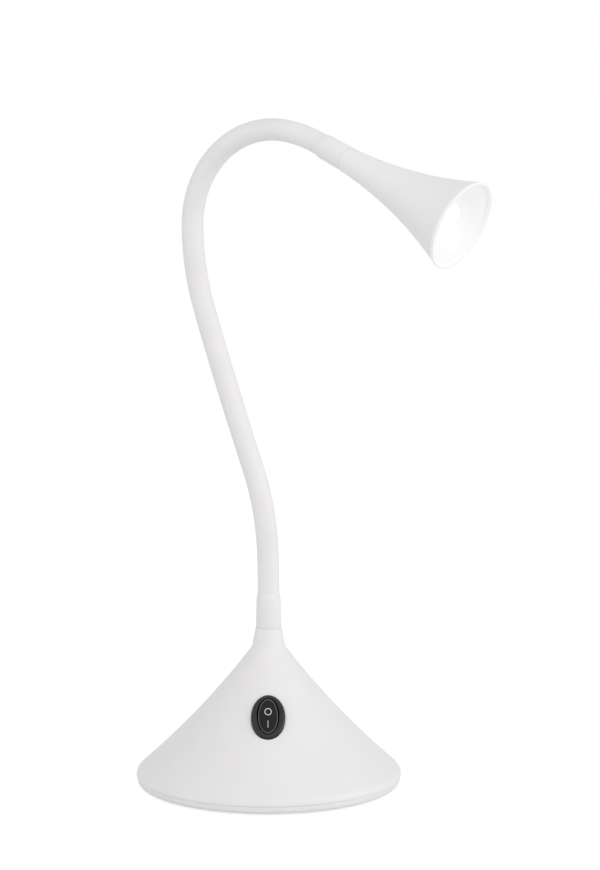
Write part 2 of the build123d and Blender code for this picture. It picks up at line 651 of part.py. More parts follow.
def ball_end(index, outer, inner):
    """Lower end of an arm section: it follows the section below, inside a ball about the bending place."""
    point, lean, bend, length = sections[index - 1]
    tail_bend = bend * BALL_RADIUS / length
    point, lean = advance(point, lean, bend - tail_bend, length - BALL_RADIUS)
    with BuildPart() as tail:
        with BuildSketch(square_plane(point, lean)):
            Circle(outer)
            if inner:
                Circle(inner, mode=Mode.SUBTRACT)
        follow(point, lean, tail_bend, BALL_RADIUS)
        with Locations(world(sections[index][0])):
            Sphere(BALL_RADIUS, mode=Mode.INTERSECT)
    return tail.part


def arm_piece(index, outer, inner=0, fitting=None):
    """One section of the hose, the sleeve or the lead, hollowed at its top for the next section's ball."""
    point, lean, bend, length = sections[index]
    with BuildPart() as piece:
        with BuildSketch(square_plane(point, lean)):
            Circle(outer)
            if inner:
                Circle(inner, mode=Mode.SUBTRACT)
        follow(point, lean, bend, length)
        if index < STATION_COUNT:
            with Locations(world(sections[index + 1][0])):
                Sphere(BALL_RADIUS + JOINT_GAP, mode=Mode.SUBTRACT)
        if index > 0:
            add(ball_end(index, outer, inner))
        if fitting:
            add(fitting)
    return piece


def straight_piece(origin, direction, length, outer, inner=0):
    """A straight round bar or tube."""
    with BuildPart() as bar:
        with BuildSketch(cross_plane(origin, direction)):
            Circle(outer)
            if inner:
                Circle(inner, mode=Mode.SUBTRACT)
        extrude(amount=length)
    return bar.part


FERRULE_BORE_RADIUS = LEAD_RADIUS + FIT_CLEARANCE
FERRULE_RADIUS = HOSE_RADIUS + FIT_CLEARANCE + FERRULE_WALL
SLEEVE_BORE_RADIUS = ARM_RADIUS - SLEEVE_WALL


def boot(seam, direction, boot_radius, boot_length):
    """The sleeve's swollen end, drawn over a ferrule that stands on the seam."""
    end_length = boot_length + BOOT_SHOULDER
    shoulder_middle = boot_length + BOOT_SHOULDER / 2
    shoulder_radius = ARM_RADIUS + BOOT_SWELL
    with BuildPart() as swelling:
        with BuildSketch(profile_plane(seam, direction)):
            with BuildLine():
                Polyline(
                    (SLEEVE_BORE_RADIUS, end_length),
                    (SLEEVE_BORE_RADIUS, FERRULE_SOCKET_LENGTH + FIT_CLEARANCE),
                    (FERRULE_RADIUS + FIT_CLEARANCE, FERRULE_SOCKET_LENGTH + FIT_CLEARANCE),
                    (FERRULE_RADIUS + FIT_CLEARANCE, 0),
                    (boot_radius, 0),
                    (shoulder_radius, boot_length),
                )
                Bezier(
                    (shoulder_radius, boot_length),
                    (shoulder_radius, shoulder_middle),
                    (ARM_RADIUS, shoulder_middle),
                    (ARM_RADIUS, end_length),
                )
                Line((ARM_RADIUS, end_length), (SLEEVE_BORE_RADIUS, end_length))
            make_face()
        revolve(axis=Axis(seam, direction))
    return swelling.part


def ferrule(seam, direction, stub_radius, stub_length):
    """End fitting of the hose: a socket on one side of the seam and a threaded stub on the other."""
    with BuildPart() as fitting:
        with BuildSketch(profile_plane(seam, direction)):
            with BuildLine():
                Polyline(
                    (FERRULE_BORE_RADIUS, -stub_length),
                    (stub_radius, -stub_length),
                    (stub_radius, 0),
                    (FERRULE_RADIUS, 0),
                    (FERRULE_RADIUS, FERRULE_SOCKET_LENGTH),
                    (HOSE_RADIUS + FIT_CLEARANCE, FERRULE_SOCKET_LENGTH),
                    (HOSE_RADIUS + FIT_CLEARANCE, FERRULE_FLOOR),
                    (FERRULE_BORE_RADIUS, FERRULE_FLOOR),
                    close=True,
                )
            make_face()
        revolve(axis=Axis(seam, direction))
    return fitting


def hex_nut(origin, direction, flats, thickness, bore):
    """A chamfered hexagon nut that stands on its origin."""
    with BuildPart() as nut:
        with BuildSketch(cross_plane(origin, direction)):
            RegularPolygon(flats / 2, 6, major_radius=False)
        extrude(amount=thickness)
        ends = nut.faces().sort_by(Axis(origin, direction))
        chamfer(ends[0].edges() + ends[-1].edges(), NUT_CHAMFER)
        with BuildSketch(cross_plane(origin, direction)):
            Circle(bore)
        extrude(amount=thickness, mode=Mode.SUBTRACT)
    return nut


def washer(origin, direction, flats, bore):
    """A plain washer as wide as the nut's flats."""
    with BuildPart() as ring:
        with BuildSketch(cross_plane(origin, direction)):
            Circle(flats / 2 + WASHER_THICKNESS / 2)
            Circle(bore, mode=Mode.SUBTRACT)
        extrude(amount=WASHER_THICKNESS)
    return ring


# Fittings that clamp the arm: stub, washer and nut under the neck, and the same inside the head
LOWER_STUB_LENGTH = NECK_SOLID_LENGTH + WASHER_THICKNESS + LOWER_NUT_THICKNESS + STUB_TAIL
UPPER_STUB_LENGTH = HEAD_SOLID_LENGTH + WASHER_THICKNESS + UPPER_NUT_THICKNESS + STUB_TAIL
keep(ferrule(neck_top, base_axis, LOWER_STUB_RADIUS, LOWER_STUB_LENGTH), "lower_ferrule")
keep(ferrule(head_seam, -head_axis, UPPER_STUB_RADIUS, UPPER_STUB_LENGTH), "upper_ferrule")

neck_seat = Vector(0, 0, NECK_SEAT)
keep(washer(neck_seat, -base_axis, LOWER_NUT_FLATS, LOWER_STUB_RADIUS + FIT_CLEARANCE), "neck_washer")
lower_nut_seat = neck_seat - base_axis * WASHER_THICKNESS
lower_nut_bore = LOWER_STUB_RADIUS + TURN_CLEARANCE
keep(hex_nut(lower_nut_seat, -base_axis, LOWER_NUT_FLATS, LOWER_NUT_THICKNESS, lower_nut_bore), "neck_nut")

head_seat = head_seam + head_axis * HEAD_SOLID_LENGTH
keep(washer(head_seat, head_axis, UPPER_NUT_FLATS, UPPER_STUB_RADIUS + FIT_CLEARANCE), "head_washer")
upper_nut_seat = head_seat + head_axis * WASHER_THICKNESS
upper_nut_bore = UPPER_STUB_RADIUS + TURN_CLEARANCE
keep(hex_nut(upper_nut_seat, head_axis, UPPER_NUT_FLATS, UPPER_NUT_THICKNESS, upper_nut_bore), "head_nut")

# Arm sections, from the base up: the end ones carry the boots and reach into the ferrules
lower_end = neck_top + base_axis * LOWER_END_LENGTH
upper_end = world(arm_tip)
LOWER_HOSE_TAIL = LOWER_END_LENGTH - FERRULE_FLOOR
UPPER_HOSE_TAIL = UPPER_END_LENGTH - FERRULE_FLOOR
lead_foot = neck_top - base_axis * LOWER_STUB_LENGTH
for index in range(STATION_COUNT + 1):
    sleeve_end = hose_end = lead_end = None
    if index == 0:
        sleeve_end = boot(neck_top, base_axis, LOWER_BOOT_RADIUS, LOWER_BOOT_LENGTH)
        hose_end = straight_piece(lower_end, -base_axis, LOWER_HOSE_TAIL, HOSE_RADIUS, HOSE_BORE_RADIUS)
        lead_end = straight_piece(lower_end, -base_axis, LOWER_END_LENGTH + LOWER_STUB_LENGTH, LEAD_RADIUS)
    if index == STATION_COUNT:
        sleeve_end = boot(head_seam, -head_axis, UPPER_BOOT_RADIUS, UPPER_BOOT_LENGTH)
        hose_end = straight_piece(upper_end, head_axis, UPPER_HOSE_TAIL, HOSE_RADIUS, HOSE_BORE_RADIUS)
        lead_end = straight_piece(upper_end, head_axis, UPPER_END_LENGTH + UPPER_STUB_LENGTH, LEAD_RADIUS)
    keep(arm_piece(index, ARM_RADIUS, SLEEVE_BORE_RADIUS, sleeve_end), f"arm_sleeve_{index}")
    keep(arm_piece(index, HOSE_RADIUS, HOSE_BORE_RADIUS, hose_end), f"arm_hose_{index}")
    keep(arm_piece(index, LEAD_RADIUS, 0, lead_end), f"arm_lead_{index}")

# Lead inside the base, from the stub's end down to the terminal block
block_x, block_y = on_board(TERMINAL_BLOCK_PLACE_SHARES)
block_top = Vector(
    block_x,
    BOARD_OFFSET + block_y - TERMINAL_BLOCK_STEP / 2,
    BOARD_TOP + TERMINAL_BLOCK_HEIGHT,
)
lead_turn = lead_foot - base_axis * LEAD_DROP
lead_drop = Vector(block_top.X, block_top.Y, lead_turn.Z)
with BuildPart() as base_lead:
    with BuildLine():
        FilletPolyline(lead_foot, lead_turn, lead_drop, block_top, radius=LEAD_BEND_RADIUS)
    with BuildSketch(Plane(origin=lead_foot, z_dir=-base_axis)):
        Circle(LEAD_RADIUS)
    sweep()
keep(base_lead, "base_lead")

# Head: everything is turned about the head's axis, and heights run from the seam to the mouth
head_profile = profile_plane(head_seam, head_axis)
turning_axis = Axis(head_seam, head_axis)
head_start = Vector(HEAD_SEAM_RADIUS, 0)
mouth_edge = Vector(MOUTH_RADIUS, HEAD_LENGTH)
head_run = (mouth_edge - head_start).normalized()
head_inward = Vector(-head_run.Y, head_run.X)
inner_head_start = head_start + head_inward * HEAD_WALL
inner_mouth_edge = mouth_edge + head_inward * HEAD_WALL
LIP_RADIUS = MOUTH_RADIUS - LIP_WIDTH
LIP_HEIGHT = HEAD_LENGTH - LIP_DEPTH


def head_plane(height):
    """The plane square to the head's axis at a height above the seam."""
    return cross_plane(head_seam + head_axis * height, head_axis)


with BuildPart() as head_shell:
    with BuildSketch(head_profile) as shell_outline:
        with BuildLine():
            Polyline((0, HEAD_LENGTH), (0, 0), head_start)
            SagittaArc(head_start, mouth_edge, FLARE_SAG)
            Line(mouth_edge, (0, HEAD_LENGTH))
        make_face()
        fillet(shell_outline.vertices().sort_by_distance(mouth_edge)[0], MOUTH_ROUND)
    revolve(axis=turning_axis)
    with BuildSketch(head_profile):
        with BuildLine():
            Polyline((0, inner_mouth_edge.Y), (0, inner_head_start.Y), inner_head_start)
            SagittaArc(inner_head_start, inner_mouth_edge, FLARE_SAG)
            Line(inner_mouth_edge, (0, inner_mouth_edge.Y))
        make_face()
        with Locations((0, HEAD_SOLID_LENGTH)):
            Rectangle(
                MOUTH_RADIUS,
                LIP_HEIGHT - HEAD_SOLID_LENGTH,
                align=(Align.MIN, Align.MIN),
                mode=Mode.INTERSECT,
            )
    revolve(axis=turning_axis, mode=Mode.SUBTRACT)
    with BuildSketch(head_plane(LIP_HEIGHT)):
        Circle(LIP_RADIUS)
    extrude(amount=LIP_DEPTH, mode=Mode.SUBTRACT)
    with BuildSketch(head_plane(0)):
        Circle(UPPER_STUB_RADIUS + FIT_CLEARANCE)
    extrude(amount=HEAD_SOLID_LENGTH + CUT_OVERRUN, mode=Mode.SUBTRACT)
    lip_edge = head_shell.edges().filter_by(GeomType.CIRCLE).filter_by(
        lambda edge: abs(edge.radius - LIP_RADIUS) < TURN_CLEARANCE
    )
    fillet(lip_edge.sort_by(turning_axis)[-1], MOUTH_ROUND)
keep(head_shell, "head_shell")

# Reflector: a flange on the shell's ledge, a dished bowl, and a skirt that holds the lens
FLANGE_RADIUS = LIP_RADIUS - FIT_CLEARANCE
BOWL_RADIUS = LIP_RADIUS - BOWL_MARGIN
LENS_RADIUS = APERTURE_RADIUS + LENS_LEDGE
LENS_FRONT_RADIUS = APERTURE_RADIUS - FIT_CLEARANCE
SKIRT_RADIUS = LENS_RADIUS + FIT_CLEARANCE + REFLECTOR_WALL
APERTURE_HEIGHT = HEAD_LENGTH - BOWL_DEPTH
LENS_HEIGHT = APERTURE_HEIGHT - APERTURE_EDGE
LENS_FRONT = APERTURE_HEIGHT + LENS_PROUD
LED_TOP = LENS_HEIGHT - LENS_THICKNESS - LED_BOARD_SETBACK
SINK_TOP = LED_TOP - LED_BOARD_THICKNESS
HEAD_LEAD_LENGTH = SINK_TOP - UPPER_STUB_LENGTH
SINK_LENGTH = HEAD_LEAD_LENGTH - SINK_STEM_GAP
FLANGE_TOP = LIP_HEIGHT + REFLECTOR_FLANGE
with BuildPart() as reflector:
    with BuildSketch(head_profile):
        with BuildLine():
            Polyline((FLANGE_RADIUS, LIP_HEIGHT), (FLANGE_RADIUS, FLANGE_TOP), (BOWL_RADIUS, FLANGE_TOP))
            SagittaArc((BOWL_RADIUS, FLANGE_TOP), (APERTURE_RADIUS, APERTURE_HEIGHT), -BOWL_SAG)
            Polyline(
                (APERTURE_RADIUS, APERTURE_HEIGHT),
                (APERTURE_RADIUS, LENS_HEIGHT),
                (SKIRT_RADIUS - REFLECTOR_WALL, LENS_HEIGHT),
                (SKIRT_RADIUS - REFLECTOR_WALL, SINK_TOP),
                (SKIRT_RADIUS, SINK_TOP),
                (SKIRT_RADIUS, LENS_HEIGHT),
                (FLANGE_RADIUS - REFLECTOR_MARGIN, LIP_HEIGHT),
                (FLANGE_RADIUS, LIP_HEIGHT),
            )
        make_face()
    revolve(axis=turning_axis)
keep(reflector, "reflector")

with BuildPart() as lens:
    with BuildSketch(head_profile):
        with BuildLine():
            Polyline(
                (0, LENS_FRONT + LENS_DOME),
                (0, LENS_HEIGHT - LENS_THICKNESS),
                (LENS_RADIUS, LENS_HEIGHT - LENS_THICKNESS),
                (LENS_RADIUS, LENS_HEIGHT),
                (LENS_FRONT_RADIUS, LENS_HEIGHT),
                (LENS_FRONT_RADIUS, LENS_FRONT),
            )
            TangentArc(
                (0, LENS_FRONT + LENS_DOME),
                (LENS_FRONT_RADIUS, LENS_FRONT),
                tangent=(1, 0),
            )
        make_face()
    revolve(axis=turning_axis)
keep(lens, "lens")

with BuildPart() as heat_sink:
    with BuildSketch(head_plane(SINK_TOP)):
        Circle(SKIRT_RADIUS)
    extrude(amount=-SINK_PLATE)
    with BuildSketch(head_plane(SINK_TOP)):
        Circle(SINK_STEM_RADIUS)
    extrude(amount=-SINK_LENGTH)
    with BuildSketch(head_plane(SINK_TOP - SINK_PLATE)):
        with PolarLocations(0, FIN_COUNT):
            Rectangle(FIN_RADIUS, FIN_THICKNESS, align=(Align.MIN, Align.CENTER))
    extrude(amount=-FIN_LENGTH)
    with BuildSketch(head_plane(SINK_TOP)):
        Circle(LEAD_RADIUS + FIT_CLEARANCE)
    extrude(amount=-HEAD_LEAD_LENGTH, mode=Mode.SUBTRACT)
    with BuildSketch(head_plane(SINK_TOP)):
        with GridLocations(LED_SCREW_SPACING, 0, 2, 1):
            Circle(LED_SCREW_RADIUS + TURN_CLEARANCE)
    extrude(amount=-LED_SCREW_DEPTH, mode=Mode.SUBTRACT)
keep(heat_sink, "heat_sink")

with BuildPart() as led_board:
    with BuildSketch(head_plane(SINK_TOP)):
        Circle(LENS_RADIUS - LED_BOARD_MARGIN)
        with GridLocations(LED_SCREW_SPACING, 0, 2, 1):
            Circle(LED_SCREW_RADIUS + FIT_CLEARANCE, mode=Mode.SUBTRACT)
    extrude(amount=LED_BOARD_THICKNESS)
keep(led_board, "led_board")

with BuildPart() as led_chip:
    with BuildSketch(head_plane(LED_TOP)):
        Rectangle(LED_CHIP_SIZE, LED_CHIP_SIZE)
    extrude(amount=LED_CHIP_THICKNESS)
    chamfer(led_chip.faces().sort_by(turning_axis)[-1].edges(), LED_CHIP_THICKNESS / 2)
keep(led_chip, "led_chip")

with BuildPart() as led_screws:
    with BuildSketch(head_plane(LED_TOP)):
        with GridLocations(LED_SCREW_SPACING, 0, 2, 1):
            Circle(LED_SCREW_HEAD_RADIUS)
    extrude(amount=LED_SCREW_HEAD_HEIGHT)
    with BuildSketch(head_plane(LED_TOP)):
        with GridLocations(LED_SCREW_SPACING, 0, 2, 1):
            Circle(LED_SCREW_RADIUS)
    extrude(amount=-LED_BOARD_THICKNESS - LED_SCREW_DEPTH)
keep(led_screws, "led_screws")

# Lead inside the head, from the stub's end through the heat sink to the back of the LED board
with BuildPart() as head_lead:
    with BuildSketch(head_plane(UPPER_STUB_LENGTH)):
        Circle(LEAD_RADIUS)
    extrude(amount=HEAD_LEAD_LENGTH)
keep(head_lead, "head_lead")
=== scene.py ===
import json
from math import asin, cos, pi, radians, sin, sqrt, tan

import bmesh
import bpy
from mathutils import Matrix, Vector


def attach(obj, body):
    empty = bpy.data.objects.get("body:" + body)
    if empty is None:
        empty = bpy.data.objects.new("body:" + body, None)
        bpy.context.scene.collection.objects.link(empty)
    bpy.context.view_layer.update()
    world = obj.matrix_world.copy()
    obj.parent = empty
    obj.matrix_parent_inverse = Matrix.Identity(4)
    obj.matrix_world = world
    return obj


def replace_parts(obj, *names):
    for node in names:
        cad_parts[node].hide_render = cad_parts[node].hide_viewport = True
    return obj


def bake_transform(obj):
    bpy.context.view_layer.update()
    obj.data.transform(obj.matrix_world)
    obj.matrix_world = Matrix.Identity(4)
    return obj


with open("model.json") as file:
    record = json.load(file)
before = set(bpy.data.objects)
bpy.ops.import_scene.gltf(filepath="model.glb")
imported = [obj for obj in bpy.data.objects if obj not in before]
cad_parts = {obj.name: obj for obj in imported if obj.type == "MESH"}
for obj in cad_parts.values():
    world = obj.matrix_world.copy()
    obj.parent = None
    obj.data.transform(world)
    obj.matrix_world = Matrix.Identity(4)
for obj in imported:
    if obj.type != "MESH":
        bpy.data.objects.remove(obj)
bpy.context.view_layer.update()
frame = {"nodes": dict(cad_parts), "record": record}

# Gooseneck desk lamp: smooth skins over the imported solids, their finishes, the studio and the
# camera. Sizes are in millimetres and are the part's own, but for a few softer edges and the
# reflector's flange. The scene itself is in metres.
MM = 0.001

# Base, from the table up
PLATE_BOTTOM = 0.8
PLATE_FLOOR = 2.2
PLATE_THICKNESS = 3.85
PLATE_INSET = 0.4
PLATE_EDGE_ROUND = 2.6
PLATE_WALL = 3.4
SEAM_ROUND = 0.3
BASE_RADIUS = 62.6
RIM_HEIGHT = 2.5
RIM_ROUND = 4.0
CONE_SAG = 2.1
SHELL_WALL = 2.2
NECK_TOP = 75.2
NECK_LENGTH = 9.0
NECK_RADIUS = 6.15
NECK_FOOT_RADIUS = 7.85
NECK_FILLET = 6.0
NECK_EDGE_ROUND = 0.4
NECK_SOLID_LENGTH = 16.0
NECK_BORE = 4.1
SCREW_RING_SHARE = 0.735
SCREW_COUNT = 3
SCREW_HEAD_RADIUS = 2.9
SCREW_SHANK_RADIUS = 1.3
SCREW_LENGTH = 12.0
SCREW_GAP = 0.1

# Cord bush
BUSH_AXIS_HEIGHT = 12.6
BUSH_LENGTH = 18.0
BUSH_RADIUS = 4.4
BUSH_BORE = 3.0
BUSH_FLANGE_RADIUS = 5.8
BUSH_FLANGE = 1.6
BUSH_NOSE_ROUND = 0.8
BUSH_BORE_ROUND = 0.3
BUSH_HOLE_GAP = 0.1

# Switch: ovals by their half width and half length
SWITCH_HEIGHT = 38.75
SEAT_RECESS = 0.8
SEAT_GAP = 0.3
BEZEL_HALF = (8.0, 11.5)
BEZEL_THICKNESS = 2.2
BEZEL_ROUND = 1.3
BEZEL_LIP_ROUND = 0.4
HOUSING_HALF = (6.6, 10.4)
HOUSING_DEPTH = 13.0
WELL_HALF = (5.1, 9.5)
WELL_DEPTH = 8.4
ROCKER_HALF = (4.6, 9.0)
ROCKER_BARREL_HALF = (5.2, 9.54)
ROCKER_TOP_HALF_LENGTH = 8.3
ROCKER_TILT = 9.0
ROCKER_CROWN = 4.7
ROCKER_DISH = 0.7
ROCKER_DISH_REACH = 2.1
ROCKER_KEEL = 3.0
ROCKER_EDGE = 0.4
PIVOT_DEPTH = 3.4
PIVOT_RADIUS = 1.1
PIVOT_HALF_SPAN = 6.0
MARK_LIFT = 0.03
MARK_THICKNESS = 0.12
MARK_CORNER = 0.08
OFF_MARK_RADIUS = 1.68
OFF_MARK_STROKE = 0.36
OFF_MARK_PLACE = 2.38
ON_MARK_LENGTH = 3.6
ON_MARK_WIDTH = 0.26
ON_MARK_PLACE = -3.72

# Gooseneck: each section bends evenly by its own angle in one upright plane
ARM_AZIMUTH = -33.3
ARM_RADIUS = 5.1
SLEEVE_BORE = 4.3
FLEX_LENGTH = 274.8
STATION_COUNT = 7
SECTION_BENDS = (-2.9, -18.8, 1.1, 1.6, 18.8, 49.3, 48.8, 16.8)
BEND_REACH = 19.0
FERRULE_SOCKET = 10.1
FERRULE_CLEAR_RADIUS = 4.75
LOWER_BOOT_RADIUS = 6.0
LOWER_BOOT_LENGTH = 13.0
UPPER_BOOT_RADIUS = 5.85
UPPER_BOOT_LENGTH = 11.5
BOOT_SWELL = 0.6
BOOT_SHOULDER = 4.5
BOOT_EDGE_ROUND = 0.3

# Head, by height above its seam with the arm
HEAD_LENGTH = 67.3
HEAD_SEAM_RADIUS = 5.9
HEAD_SEAM_ROUND = 0.25
MOUTH_RADIUS = 21.6
FLARE_SAG = 3.1
HEAD_WALL = 1.8
HEAD_SOLID_LENGTH = 22.0
HEAD_BORE = 3.1
LIP_WIDTH = 2.2
LIP_DEPTH = 2.2
MOUTH_ROUND = 0.5
LIP_INNER_ROUND = 1.5
FLANGE_THICKNESS = 0.7
REFLECTOR_MARGIN = 1.1
BOWL_MARGIN = 0.35
BOWL_DEPTH = 8.0
BOWL_SAG = 0.6
APERTURE_RADIUS = 6.5
APERTURE_EDGE = 0.8
APERTURE_ROUND = 0.25
LENS_LEDGE = 1.1
LENS_GAP = 0.1
LENS_THICKNESS = 1.5
LENS_PROUD = 1.0
LENS_DOME = 0.8
LENS_EDGE_ROUND = 0.3
SKIRT_WALL = 1.0
SKIRT_LENGTH = 3.3

# Steps of the shapes that are turned or swept
FINE_STEPS = 192
ROUND_STEPS = 96
ARM_STEPS = 48
CONE_STEPS = 40
CONE_INSIDE_STEPS = 24
ROCKER_RINGS = 10
BEND_STEPS = 14
SHOULDER_STEPS = 6
FLARE_STEPS = 40
FLARE_INSIDE_STEPS = 16
BOWL_STEPS = 16
DOME_STEPS = 8

# Segments of a round, from the finest edge to the broadest
FINE_SEGMENTS = 2
SMALL_SEGMENTS = 3
EDGE_SEGMENTS = 4
NOSE_SEGMENTS = 5
RIM_SEGMENTS = 6
BROAD_SEGMENTS = 8

# Tolerances, in metres
WELD = 1e-7
SLIVER = 1e-8
ON_CORNER = 1e-6
BOOT_WELD = 1e-5

FULL_TURN = 2 * pi
SMOOTH_ANGLE = radians(34)
SECOND_FINISH = 1
ALONG_X = Vector((1, 0, 0))
ALONG_Y = Vector((0, 1, 0))
UP = Vector((0, 0, 1))


# Shapes

def stand_off(size, chord):
    """How far an arc of a radius stands off its chord."""
    return size - sqrt(size * size - chord * chord / 4)


def arc_size(chord, sag):
    """Radius of the arc that stands off its chord by a sag."""
    return chord * chord / (8 * sag) + sag / 2


class Outline:
    """A chain of edges in the plane of radius and height, to be turned about Z."""

    def __init__(self, radius, height):
        self.bm = bmesh.new()
        self.tip = bmesh.ops.create_vert(self.bm, co=(radius * MM, 0, height * MM))["vert"][0]
        self.first = self.tip

    def line(self, *corners):
        """Straight edges to the next corners."""
        for radius, height in corners:
            self.tip = bmesh.ops.extrude_vert_indiv(self.bm, verts=[self.tip])["verts"][0]
            self.tip.co = (radius * MM, 0, height * MM)
        return self

    def arc(self, radius, height, sag, steps):
        """An arc to the next corner. It stands off its chord by sag, left of the way it runs."""
        start = self.tip.co.copy()
        end = Vector((radius, 0, height)) * MM
        chord = end - start
        size = arc_size(chord.length, abs(sag) * MM)
        left = Vector((-chord.z, 0, chord.x)).normalized() * (1 if sag > 0 else -1)
        centre = (start + end) / 2 - left * (size - abs(sag) * MM)
        turn = 2 * asin(chord.length / 2 / size)
        swung = Matrix.Rotation(turn, 3, "Y") @ (start - centre) + centre
        if (swung - end).length > chord.length / 2:
            turn = -turn
        made = bmesh.ops.spin(
            self.bm,
            geom=[self.tip],
            cent=centre,
            axis=ALONG_Y,
            angle=turn,
            steps=steps,
        )
        self.tip = next(v for v in made["geom_last"] if isinstance(v, bmesh.types.BMVert))
        return self

    def closed(self):
        """Joins the last corner to the first."""
        bmesh.ops.contextual_create(self.bm, geom=[self.tip, self.first])
        return self

    def turned(self, steps=ROUND_STEPS):
        """The shape that the outline makes when it is turned about Z."""
        bm = self.bm
        bmesh.ops.spin(
            bm,
            geom=bm.verts[:] + bm.edges[:],
            cent=(0, 0, 0),
            axis=UP,
            angle=FULL_TURN,
            steps=steps,
            use_merge=True,
        )
        bmesh.ops.remove_doubles(bm, verts=bm.verts[:], dist=WELD)
        bmesh.ops.dissolve_degenerate(bm, edges=bm.edges[:], dist=SLIVER)
        bmesh.ops.recalc_face_normals(bm, faces=bm.faces[:])
        return bm


def ring_at(bm, corner):
    """The edges of a turned shape that run round it at a corner of its outline."""
    spot = Vector(corner) * MM

    def on_spot(vert):
        return (Vector((vert.co.xy.length, vert.co.z)) - spot).length < ON_CORNER

    return [edge for edge in bm.edges if all(on_spot(vert) for vert in edge.verts)]


def rounded(bm, edges, radius, segments):
    """Rounds edges to a radius, set back alike by their sharpest, and gives the new faces."""
    bm.normal_update()
    sharpest = max(edge.calc_face_angle() for edge in edges)
    setback = radius * tan(sharpest / 2)
    made = bmesh.ops.bevel(
        bm,
        geom=edges,
        offset=setback * MM,
        offset_type="OFFSET",
        affect="EDGES",
        segments=segments,
        profile=0.5,
        material=-1,
        clamp_overlap=True,
    )
    return made["faces"]


def loop_of(verts):
    """The edges that join some vertices to each other, in the vertices' order."""
    inside = set(verts)
    edges = dict.fromkeys(e for v in verts for e in v.link_edges)
    return [e for e in edges if inside.issuperset(e.verts)]


def ellipse(bm, half, height, steps=ROUND_STEPS):
    """A closed loop of edges with two half axes, level at a height."""
    made = bmesh.ops.create_circle(bm, cap_ends=False, segments=steps, radius=1.0)
    bmesh.ops.scale(bm, vec=(half[0] * MM, half[1] * MM, 1), verts=made["verts"])
    bmesh.ops.translate(bm, vec=UP * height * MM, verts=made["verts"])
    return loop_of(made["verts"])


def drawn_out(bm, loop, half, height, was):
    """Extrudes a loop of edges from one pair of half axes to another, at another height."""
    made = bmesh.ops.extrude_edge_only(bm, edges=loop)["geom"]
    verts = [v for v in made if isinstance(v, bmesh.types.BMVert)]
    bmesh.ops.scale(bm, vec=(half[0] / was[0], half[1] / was[1], 1), verts=verts)
    bmesh.ops.translate(bm, vec=UP * (height * MM - verts[0].co.z), verts=verts)
    return loop_of(verts)


def closed_over(bm, loop):
    """Fills a loop of edges with a face."""
    bmesh.ops.edgeloop_fill(bm, edges=loop)


def joined(bm, other):
    """Adds another shape to a shape and frees it."""
    carrier = bpy.data.meshes.new("carrier")
    other.to_mesh(carrier)
    other.free()
    bm.from_mesh(carrier)
    bpy.data.meshes.remove(carrier)


def upright(origin, direction, side):
    """A matrix that stands a shape turned about Z on a point, along a direction."""
    z = direction.normalized()
    x = (side - z * side.dot(z)).normalized()
    y = z.cross(x)
    return Matrix.Translation(origin * MM) @ Matrix((x, y, z)).transposed().to_4x4()


def piece(name, bm, finish=None, matrix=None, second=None):
    """Makes an object of a shape, smooth but for its sharp edges, in one or two finishes."""
    if matrix:
        bmesh.ops.transform(bm, matrix=matrix, verts=bm.verts[:])
    mesh = bpy.data.meshes.new(name)
    bm.to_mesh(mesh)
    bm.free()
    mesh.shade_smooth()
    mesh.set_sharp_from_angle(angle=SMOOTH_ANGLE)
    made = bpy.data.objects.new(name, mesh)
    bpy.context.scene.collection.objects.link(made)
    if finish:
        mesh.materials.append(finishes[finish].material)
    if second:
        mesh.materials.append(finishes[second].material)
    return made


def cut(target, *cutters):
    """Takes the cutters out of a piece and removes them."""
    for cutter in cutters:
        tool = target.modifiers.new("cut", "BOOLEAN")
        tool.operation = "DIFFERENCE"
        tool.solver = "EXACT"
        tool.object = cutter
    bpy.context.view_layer.update()
    graph = bpy.context.evaluated_depsgraph_get()
    mesh = bpy.data.meshes.new_from_object(target.evaluated_get(graph))
    target.modifiers.clear()
    plain = target.data
    target.data = mesh
    bpy.data.meshes.remove(plain)
    mesh.name = target.name
    mesh.shade_smooth()
    mesh.set_sharp_from_angle(angle=SMOOTH_ANGLE)
    for cutter in cutters:
        bpy.data.objects.remove(cutter)


# Finishes

NOISE_MIDDLE = 0.5
TONES_FROM, TONES_TO = 0.28, 0.72
CLOUD_GLOSS = 0.06
GRAIN_GLOSS = 0.04
STREAK_GLOSS = 0.1
STREAK_FINENESS = 8


class Wire:
    """An output socket. Sums on it add Math nodes to the graph it belongs to."""

    def __init__(self, graph, socket):
        self.graph = graph
        self.socket = socket

    def maths(self, operation, first, second):
        return self.graph.node("ShaderNodeMath", {"operation": operation}, {0: first, 1: second})

    def __add__(self, other):
        return self.maths("ADD", self, other)

    def __radd__(self, other):
        return self.maths("ADD", other, self)

    def __sub__(self, other):
        return self.maths("SUBTRACT", self, other)

    def __rsub__(self, other):
        return self.maths("SUBTRACT", other, self)

    def __mul__(self, other):
        return self.maths("MULTIPLY", self, other)

    def __rmul__(self, other):
        return self.maths("MULTIPLY", other, self)


